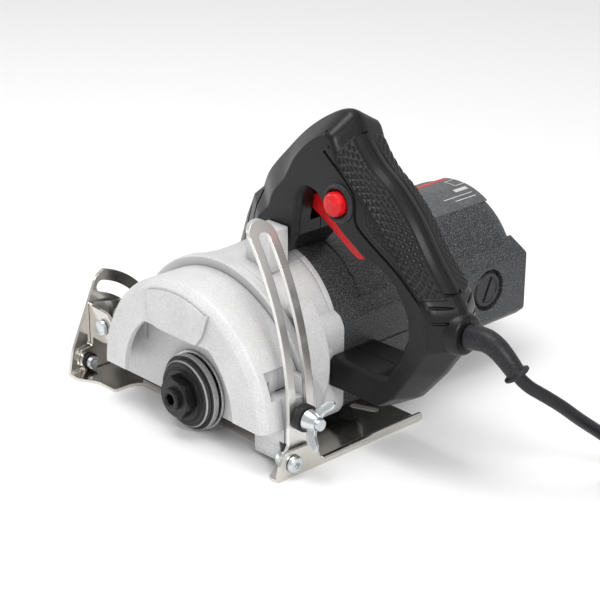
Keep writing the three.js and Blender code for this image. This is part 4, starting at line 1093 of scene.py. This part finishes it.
def handle_rings(stations):
    """Cross-sections of the handle. Each runs from the outer edge at the seam, over a slanted shoulder to
    the flat side, over a small chamfer to the inner face and back. Every corner is a parabola between
    points that lie a reach away from it along its two sides."""
    stations = np.asarray(stations, float)
    outer, inner, inset = stations[:, :2], stations[:, 2:4], stations[:, 4]
    depth = np.linalg.norm(inner - outer, axis=1)
    across = (inner - outer) / depth[:, None]
    zero = np.zeros(len(depth))
    half, lip, step = zero + HANDLE_HALF, zero + SEAM_LIP, INNER_STEP
    corners = np.stack([
        np.stack([zero, inset, depth - step, depth, depth, depth - step, inset, zero], axis=1),
        np.stack([lip, half, half, half - step, step - half, -half, -half, -lip], axis=1),
    ], axis=-1)
    grip = np.clip((-stations[:, 0] - 48) / 10, 0, 1) * np.clip((stations[:, 1] - 66) / 12, 0, 1)
    shoulder = 0.9 + 4.3 * grip
    crest, small = zero + 1.7, zero + 1.1
    reach = np.stack([crest, shoulder, small, small, small, small, shoulder, crest], axis=1)
    before, after = np.roll(corners, 1, axis=1) - corners, np.roll(corners, -1, axis=1) - corners
    before /= np.linalg.norm(before, axis=2, keepdims=True)
    after /= np.linalg.norm(after, axis=2, keepdims=True)
    start, end = corners + before * reach[..., None], corners + after * reach[..., None]
    t = np.linspace(0, 1, COLUMNS)[None, None, :, None]
    curve = (1 - t) ** 2 * start[:, :, None] + t ** 2 * end[:, :, None]
    curve = (curve + 2 * t * (1 - t) * corners[:, :, None]).reshape(len(depth), -1, 2)
    flat = outer[:, None] + across[:, None] * curve[..., :1]
    return np.stack([flat[..., 0], HANDLE_Y + curve[..., 1], flat[..., 1]], axis=-1)


def straight_path(points, spacing):
    """Straight lines through the points, as points about a spacing apart."""
    knots = np.asarray(points, float)
    counts = np.maximum(2, np.linalg.norm(np.diff(knots, axis=0), axis=1) // spacing).astype(int)
    rows = [
        a + (b - a) * np.linspace(0, 1, n, endpoint=False)[:, None]
        for a, b, n in zip(knots, knots[1:], counts)
    ]
    return np.vstack([*rows, knots[-1:]])


def sweep(points, radius, sides=10):
    """A round cutter carried along a smooth line through the points."""
    return blank("sweep", *tube(smooth_path(points, 1.6), radius, sides))


def at_side(line, y):
    """A line in x and z, placed at a y."""
    return [(x, y, z) for x, z in line]


handle_black = finish(
    "handle_black", moulded_colour((0.004, 0.0041, 0.0045), (0.013, 0.0132, 0.0145), 0.5),
    mould_gloss(0.34, 2.0), height=spark_relief(0.4), depth=0.035, edge=0.6,
)
OUTER_GROOVE = [
    (-47, 148.5), (-66.5, 132), (-68.8, 118.4), (-71.6, 115.2), (-97.4, 100), (-110.5, 90), (-119, 84),
]
CROSS_GROOVES = [
    ((-52.5, 160.5), (-36, 150)), ((-56.4, 155.6), (-41, 144)), ((-117.8, 92), (-101, 100)),
    ((-121.5, 86.5), (-104, 92)), ((-124.2, 80), (-108, 83)),
]
FOOT_SLITS = [((7.0, 97.5), (8.6, 117)), ((17.2, 85.5), (17.8, 103)), ((25.5, 76.5), (27.5, 86))]
SEAM_GAP, SHOULDER_DROP = 0.22, 8.0


def handle_halves():
    """The stacked cross-sections and the lead's gland, less the barrel's saddle, the trigger's recess, the
    grooves and slits. A groove across the grip is a tube whose line goes level over the seam and then
    falls evenly down the shoulders. The whole is split at the seam."""
    y = HANDLE_Y
    whole = stacked(handle_rings(np.vstack([
        straight_path(HANDLE_STATIONS[:4], 3.0)[:-1], smooth_path(HANDLE_STATIONS[3:18], 2.6)[:-1],
        straight_path(HANDLE_STATIONS[17:], 3.0),
    ])))
    gland = turned("x", (y, 74), path_of(
        (0, -117), (12, -117), (11.6, -119), (9.9, -125.8), (9.3, -126.6), (8.4, -127), (0, -127)), 72)
    recess = prism("y", eased([
        (-19, 111), (-25, 127), (-36, 128.5), (-49, 129.5), (-58, 119), (-66, 113.5), (-70, 114.5),
        (-78.5, 114.5), (-80, 106), (-74, 97), (-63, 90), (-40, 100)], 1.5), y - 7.2, y + 7.2)
    switch_room = prism("y", [(-51, 131.5), (-70, 115), (-82, 127), (-62, 142.5)], y - 9, y + 9)
    saddle = rod("y", MOTOR, BARREL_R + 0.9, -60, 0, sides=200)
    body = cut(joined(whole, gland), saddle, recess, switch_room, rod("x", (y, 74), 4, -128, -95))
    grooves = [sweep(at_side(OUTER_GROOVE, y + side * (HANDLE_HALF - 0.5)), 1.0) for side in (-1, 1)]
    over = np.linspace(-HANDLE_HALF, HANDLE_HALF, 25)
    for start, end in CROSS_GROOVES:
        inward = np.subtract(end, start) / np.linalg.norm(np.subtract(end, start))
        drop = SHOULDER_DROP * np.clip(np.abs(over) - SEAM_LIP, 0, None) / (HANDLE_HALF - SEAM_LIP)
        at = np.array(start) + inward * (drop - 0.1)[:, None]
        line = np.stack([at[:, 0], y + over, at[:, 1]], axis=1)
        grooves.append(blank("groove", *tube(line, 0.9, 8)))
    for low, high in FOOT_SLITS:
        for side in (-1, 1):
            edges = sorted((y + side * 4.5, y + side * (HANDLE_HALF + 4)))
            grooves.append(prism("y", slot(low, high, 1.9), *edges))
    body = cut(body, *grooves)
    copy = body.copy()
    copy.data = body.data.copy()
    bpy.context.collection.objects.link(copy)
    left = shared(body, slab(-200, 100, y + SEAM_GAP, 0, 0, 200))
    right = shared(copy, slab(-200, 100, -80, y - SEAM_GAP, 0, 200))
    left = cut(left, rod("y", LOCK, 6.5, y, 0), rod("y", TRIGGER_PIN, 1.8, y, y + 9.5))
    screw_holes = [
        rod("y", at, radius, -60, depth)
        for at in HANDLE_SCREWS for radius, depth in ((3.6, y - 13), (1.9, y))
    ]
    return left, cut(right, rod("y", TRIGGER_PIN, 1.8, y - 9.5, y), *screw_holes)


handle_left, handle_right = handle_halves()
fitted(handle_left, "handle_shell_left", handle_black, "saw", "handle_left", slot="black_moulding")
fitted(handle_right, "handle_shell_right", handle_black, "saw", "handle_right", slot="black_moulding")


# Grip pads. Soft rubber moulded over both sides of the grip, with a diamond knurl of 2.8 mm and a
# smooth border. Each wraps over the shoulder and stops short of the seam.
PAD_EDGE = [
    (-54, 149), (-72.4, 135), (-74.4, 131.8), (-74.7, 120), (-78.8, 114.7), (-100.5, 102.5), (-113.5, 91.6),
]
PAD_START, PAD_BORDER, SHOULDER_EASE = 4.0, 1.6, 5.2
KNURL, KNURL_DEPTH, DIAGONAL = 2.8, 0.55, 1.414
PAD_ROWS, PAD_COLUMNS = 300, 110
rubber = finish(
    "soft_grip", moulded_colour((0.005, 0.005, 0.0055), (0.012, 0.012, 0.013), 1.0), mould_gloss(0.36),
    height=spark_relief(0.4), depth=0.03, edge=0.15,
)


def grip_pad(side):
    """A patch of the handle's skin. One parameter runs down the grip, the other from 4 mm off the seam to
    the groove: straight down the shoulder, round a parabola, and on along the flat side. The knurl
    rises by the lesser of two triangle waves that cross at right angles, cut off flat on top."""
    rows, columns = PAD_ROWS, PAD_COLUMNS
    stations = smooth_path(HANDLE_STATIONS, 0.5)
    keep = (stations[:, 0] < -56.5) & (stations[:, 1] > 90.5)
    stations = stations[keep]
    pick = np.linspace(0, len(stations) - 1, rows)
    order = np.arange(len(stations))
    stations = np.stack([np.interp(pick, order, column) for column in stations.T], axis=1)
    outer, inner, inset = stations[:, :2], stations[:, 2:4], stations[:, 4]
    depth = np.linalg.norm(inner - outer, axis=1)
    across = (inner - outer) / depth[:, None]
    edge_line = smooth_path(PAD_EDGE, 0.4)
    offset = edge_line[None] - outer[:, None]
    side_off = np.abs(offset[..., 0] * across[:, None, 1] - offset[..., 1] * across[:, None, 0])
    nearest = side_off.argmin(axis=1)
    reach = (offset[np.arange(rows), nearest] * across).sum(axis=1)
    reach = np.clip(reach, inset + 2.0, depth - 4.0)
    slope = np.hypot(inset, HANDLE_HALF - SEAM_LIP)
    share = np.linspace(0, 1, columns)[None, :]
    run = PAD_START + (slope + reach - inset - PAD_START)[:, None] * share
    ease = SHOULDER_EASE
    past = np.clip((run - slope[:, None] + ease) / (2 * ease), 0, 1)
    lean = inset / slope
    straight = np.minimum(run, (slope - ease)[:, None])
    level = lean[:, None] * straight
    level += ease * 2 * (lean[:, None] * past + (1 - lean[:, None]) * past ** 2 / 2)
    level += np.maximum(0, run - slope[:, None] - ease)
    rise = ((HANDLE_HALF - SEAM_LIP) / slope)[:, None]
    height = SEAM_LIP + rise * straight + ease * 2 * rise * (past - past ** 2 / 2)
    normal_y = np.clip(lean[:, None] * (1 - past) + past, 0, 1)
    normal_in = -rise * (1 - past)
    size = np.hypot(normal_y, normal_in)
    stride = np.linalg.norm(np.diff(outer + across * 12, axis=0), axis=1)
    down = np.concatenate([[0], np.cumsum(stride)])[:, None]
    first = np.abs(((down + run) / (KNURL * DIAGONAL)) % 1 - 0.5) * 2
    second = np.abs(((down - run) / (KNURL * DIAGONAL)) % 1 - 0.5) * 2
    to_edges = (run - PAD_START, run[:, -1:] - run, down + 0 * run, down[-1] - down + 0 * run)
    border = (np.minimum.reduce(to_edges) / PAD_BORDER).clip(0, 1)
    bumps = np.minimum(1, 1.5 * np.minimum(first, second))
    out = 0.35 + np.where(border < 1, 0.55 * border ** 0.5, KNURL_DEPTH * bumps + 0.1)
    skins = []
    for push in (out, np.full_like(out, -0.8)):
        level_at = level + push * normal_in / size
        height_at = height + push * normal_y / size
        spot = outer[:, None] + across[:, None] * level_at[..., None]
        skins.append(np.stack([spot[..., 0], HANDLE_Y + side * height_at, spot[..., 1]], axis=-1))
    return layered("pad", *skins)


for side, label in ((1, "left"), (-1, "right")):
    name, node = f"grip_rubber_{label}", f"grip_pad_{label}"
    fitted(grip_pad(side), name, rubber, "saw", node, slot="soft_grip", sharp=60)


# Gland ring and sleeve. A tapered rubber sleeve with ribs carries the lead out of the handle and ends in
# a thicker lip.
SLEEVE_R = (6.2, 4.4)


def sleeve():
    """The sleeve's radius falls evenly along it, and swells by a bell curve into the lip at its end."""
    line = smooth_path(LEAD[1:8], 0.5)
    run = np.linspace(0, 1, len(line))
    radius = SLEEVE_R[0] + (SLEEVE_R[1] - SLEEVE_R[0]) * run
    bulb = 2.0 * np.exp(-((run - 0.955) / 0.035) ** 4)
    start = rod("x", (HANDLE_Y, 74), 3.6, -129.2, -100, 0.2)
    end_fall = np.where(run > 0.985, 0.8, 0)
    return joined(blank("sleeve", *tube(line, radius + bulb - end_fall, 40)), start)


sleeve_rubber = finish("sleeve_rubber", moulded_colour((0.014, 0.014, 0.016), (0.028, 0.028, 0.03), 0.9),
                       mould_gloss(0.42), height=spark_relief(0.5), depth=0.04, edge=0.3)
lead_sleeve = fitted(
    sleeve(), "lead_sleeve", sleeve_rubber, "saw", "cord_guard", slot="black_moulding", sharp=50)


# Lead ties. Three soft black straps, fastened round the coil, keep its turns together while it is put
# away.
def coil_tie(turn_degrees):
    """A flat band round the coil's section: a rounded rectangle and a slightly smaller one inside it,
    each carried across the band's width."""
    low, high = 1.0, 13.7
    inner, outer = COIL_OUTER - COIL_PITCH * WINDS - 3.3, COIL_OUTER + 2.95
    section = eased([(inner, low - 0.35), (outer, low - 0.35), (outer, high), (inner, high)], 2.2, 6)
    section = np.vstack([section, section[:1]])
    turn = math.radians(turn_degrees)
    middle = section.mean(axis=0)
    thin = middle + (section - middle) * 0.965
    rings = []
    for outline, shift in ((section, -3.2), (section, 3.2), (thin, 3.2), (thin, -3.2)):
        x = COIL_CENTRE[0] + outline[:, 0] * math.cos(turn) - shift * math.sin(turn)
        y = COIL_CENTRE[1] + outline[:, 0] * math.sin(turn) + shift * math.cos(turn)
        rings.append(np.stack([x, y, outline[:, 1]], axis=1)[:-1])
    points = np.array(rings)
    return blank("tie", points.reshape(-1, 3), grid_faces(4, points.shape[1], True, True))


tie_strap = finish(
    "tie_strap", moulded_colour((0.02, 0.02, 0.022), (0.05, 0.05, 0.055), 0.8), mould_gloss(0.7),
    height=spark_relief(0.7), depth=0.12, edge=0.3,
)
lead_ties = [
    fitted(coil_tie(turn_degrees), f"lead_tie_{number + 1}", tie_strap, "saw", slot="cord_sheath")
    for number, turn_degrees in enumerate((100, 200, 330))
]


# Plug. A two-pin plug of black PVC, moulded onto the end of the lead, with a waisted and ribbed grip and
# plated brass pins.
plug_black = finish("plug_black", moulded_colour((0.016, 0.016, 0.018), (0.035, 0.035, 0.038), 0.8),
                    mould_gloss(0.4), height=spark_relief(0.5), depth=0.04, edge=0.4)


def plug_body():
    """A waisted outline given a thickness, with its edges rounded and four grooves across the top."""
    outline = eased([
        (-291.4, -136), (-297, -135), (-304, -128), (-328, -127), (-331, -130), (-331, -150), (-328, -153),
        (-304, -152), (-297, -145), (-291.4, -144)], 2.0)
    body = softened(prism("z", outline, 0.8, 13.2), 2.4, 60, 4)
    grips = [slab(x, x + 1.6, -150, -130, 12.6, 15) for x in (-322, -318, -314, -310)]
    return cut(body, *grips)


plug_pieces = [fitted(plug_body(), "plug_body", plug_black, "saw", slot="black_moulding")]
for number, y in enumerate((-130.5, -149.5)):
    profile = path_of((0, -349.8), (1.2, -349.8), (1.8, -349), (2, -348), (2, -330), (0, -330))
    pin = turned("x", (y, 7), profile, 40)
    plug_pieces.append(fitted(pin, f"plug_pin_{number + 1}", bright_steel, "saw", slot="bright_steel"))
plug_neck = rod("x", (-140, 7), 4.2, -298, -288.5, 0.6)
plug_pieces.append(fitted(plug_neck, "plug_neck", plug_black, "saw", "power_plug", slot="black_moulding"))


# Trigger and lock. Both are gloss red nylon: a curved trigger on a steel pin under the grip, and a domed
# button in a dark collar that holds it in.
red_nylon = finish(
    "red_nylon", moulded_colour((0.62, 0.008, 0.012), (0.72, 0.014, 0.018), 2.5), mould_gloss(0.3, 2.5),
    height=spark_relief(0.9), depth=0.025, edge=0.5, coat=0.1,
)
trigger = softened(prism("y", eased([
    (-24.3, 113.5), (-29, 120.5), (-36, 121.5), (-47, 120), (-66, 105.5), (-70, 111.5), (-75.5, 111.5),
    (-76.5, 106), (-72, 101.5), (-63, 94.6), (-59.5, 94.3), (-54.6, 96.6), (-37.1, 107.3), (-30.7, 110.7),
], 1.6, 5), HANDLE_Y - 6, HANDLE_Y + 6), 0.9, 60)
trigger = cut(trigger, rod("y", TRIGGER_PIN, 1.8, HANDLE_Y - 10, HANDLE_Y + 10))
fitted(trigger, "trigger_lever_red", red_nylon, "trigger_lever", "trigger", slot="red_moulding")
high = HANDLE_Y + HANDLE_HALF + 5.6
button = turned("y", LOCK, path_of(
    (0, HANDLE_Y + 12.6), (6, HANDLE_Y + 12.6), (6, high - 2.0), (5.6, high - 1.0), (4.7, high - 0.35),
    (3.0, high - 0.05), (0, high)), 72)
fitted(button, "lock_button_red", red_nylon, "lock_pin", "lock_button", slot="red_moulding")
low = HANDLE_Y + HANDLE_HALF
collar = turned("y", LOCK, path_of(
    (7.2, low - 0.6), (9.8, low - 0.6), (9.8, low + 0.6), (9.2, low + 1.3), (8.2, low + 1.8),
    (7.6, low + 1.7), (7.2, low + 1.2)), 90)
fitted(collar, "lock_button_collar", cap_nylon, "saw", "lock_collar", slot="black_moulding")


# Clamps. A zinc wing nut on a black washer locks the depth, on a stud that comes out of the guard's lug.
# A wing screw in the front slot locks the bevel.
def winged(at, face, outward, turn):
    """A tapered hub with two wings. A wing is a flat pressed outline, eased at its edges."""
    profile = np.array([(0, 0), (5.0, 0), (5.4, 0.4), (4.6, 4), (3.6, 7), (3.1, 7.5), (0, 7.5)])
    parts = [turned("x", at, profile * (1, outward) + (0, face), 56)]
    for side in (1, -1):
        outline = eased([
            (2.5, 1.5), (7, 2.6), (11, 6.0), (13.0, 10.6), (11.8, 12.0), (9.6, 11.8), (5.6, 7.8), (2.5, 7),
        ], 1.2, 5) * (side, 1)
        wing = softened(prism("z", outline, -1.1, 1.1), 0.5, 50, 2)
        place = (
            Matrix.Translation((face * MM, at[0] * MM, at[1] * MM))
            @ Matrix.Rotation(math.radians(turn), 4, "X")
            @ Matrix.Rotation(math.radians(90 if outward < 0 else -90), 4, "Z")
        )
        wing.data.transform(place)
        parts.append(wing)
    return joined(*parts)


DEPTH_STUD = ((ARM_Y[0] + ARM_Y[1]) / 2, PIVOT[1])
arm_face = PIVOT[0] - ARM_RADIUS - ARM_THICK / 2
depth_stud = threaded("x", DEPTH_STUD, 2.9, -82, -52)
fitted(depth_stud, "depth_clamp_stud", zinc, "saw", "depth_stud", slot="zinc_hardware")
depth_washer = ring("x", DEPTH_STUD, 3.2, 6.8, arm_face - GAP - 4.2, arm_face - GAP, 0.5)
fitted(depth_washer, "depth_clamp_washer", black_washer, "saw", "depth_washer", slot="black_moulding")
nut_face = arm_face - 2 * GAP - 4.2
depth_nut = cut(winged(DEPTH_STUD, nut_face, -1, -60), rod("x", DEPTH_STUD, 3.2, -95, -60))
fitted(depth_nut, "depth_wing_nut_zinc", zinc, "depth_knob", "depth_wing_nut", slot="zinc_hardware")
knob_face = BASE_X[1] + GAP
bevel_knob = joined(
    winged(BEVEL_STUD, knob_face, 1, 20), threaded("x", BEVEL_STUD, 2.9, 88.4, knob_face + 1))
fitted(bevel_knob, "bevel_wing_screw_zinc", zinc, "bevel_knob", "bevel_wing_bolt", slot="zinc_hardware")


# Screws. Pan heads with a cross recess hold the handle halves from the right, and two longer ones draw
# the motor housing onto the gear housing.
def cross_screw(at, head_radius, head_low, head_high, shank, tip, name, node):
    """A domed head on the low side with a cross recess, and a plain shank."""
    dome = turned("y", at, path_of(
        (0, head_low), (0.55 * head_radius, head_low + 0.1), (0.85 * head_radius, head_low + 0.5),
        (head_radius, head_low + 1.1), (head_radius, head_high), (0, head_high)), 48)
    bits = []
    for wide, tall in ((0.55, 0.16), (0.16, 0.55)):
        x, z = at
        bits.append(slab(x - wide * head_radius, x + wide * head_radius, head_low - 1, head_low + 1.0,
                         z - tall * head_radius, z + tall * head_radius))
    screw = cut(joined(dome, rod("y", at, shank, head_high - 0.4, tip, 0.3)), *bits)
    fitted(screw, name, zinc, "saw", node, slot="zinc_hardware" if "housing" in node else "bright_steel")


for number, at in enumerate(HANDLE_SCREWS):
    cross_screw(at, 3.2, HANDLE_Y - HANDLE_HALF + 0.4, HANDLE_Y - 13.3, 1.5, HANDLE_Y - 1,
                f"handle_cross_screw_{number + 1}", f"handle_screw_{number + 1}")
for label, at in SCREWS.items():
    cross_screw(at, 4.2, -48.5, -45.3, 2, -9, f"housing_cross_screw_{label}", f"housing_screw_{label}")


# Inside the motor and the gear case. These parts keep their shapes and get the finish of what they are:
# laminated iron, copper bars, brass, carbon, bearing steel and moulded nylon.
def banded(pitch, low, high):
    """Thin stripes across the motor's axis, as laminations have: a sine of y over the pitch."""
    def colour(start, place):
        along = start.node("SeparateXYZ", {}, {"Vector": place}, output="Y")
        wave = start.maths("SINE", along * (2 * math.pi / (pitch * MM))) * 0.5 + 0.5
        return blended(start, 0.7 * wave + 0.3 * noise(start, place, 3), low, high)
    return colour


def bars(count, low, high):
    """Bars side by side round the motor's axis: a sine of the angle times their count."""
    def colour(start, place):
        x, z = offsets(start, place, MOTOR)
        wave = start.maths("SINE", start.maths("ARCTAN2", z, x) * count)
        return blended(start, wave.above(-0.8, 0.1), low, high)
    return colour


inner_finish = {
    name: finish(name, colour, mould_gloss(gloss), metal, spark_relief(grain), depth, edge=edge)
    for name, colour, gloss, metal, grain, depth, edge in (
        ("iron_core", banded(1.0, (0.16, 0.16, 0.165), (0.3, 0.3, 0.3)), 0.45, 0.7, 1.0, 0.05, 0.2),
        ("copper_segments", bars(24, (0.05, 0.03, 0.02), (0.62, 0.27, 0.12)), 0.3, 1.0, 0.6, 0.02, 0.2),
        ("brass_holder", moulded_colour((0.55, 0.40, 0.14), (0.66, 0.50, 0.2), 3), 0.3, 1.0, 0.8, 0.02, 0.3),
        ("carbon", moulded_colour((0.02, 0.02, 0.02), (0.045, 0.045, 0.045), 0.6), 0.6, 0.1, 0.4, 0.05, 0.2),
    )
}
INNER = {
    "iron_core": ("stator", "armature_core"), "copper_segments": ("commutator",),
    "brass_holder": ("brush_holder_rear", "brush_holder_front"),
    "carbon": ("carbon_brush_rear", "carbon_brush_front"),
}
shown = {node: inner_finish[kind] for kind, nodes in INNER.items() for node in nodes}
shown.update({node: bright_steel for node in (
    "spindle", "driven_gear", "armature_shaft", "armature_bearing_front", "armature_bearing_rear",
    "spindle_bearing_rear", "spindle_bearing_front", "brush_spring_rear", "brush_spring_front",
    "trigger_pin",
)})
shown.update({"bearing_plate": cast_silver, "cooling_fan": cap_nylon, "switch_body": cap_nylon})
for node, material in shown.items():
    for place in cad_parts[node].material_slots:
        place.material = material
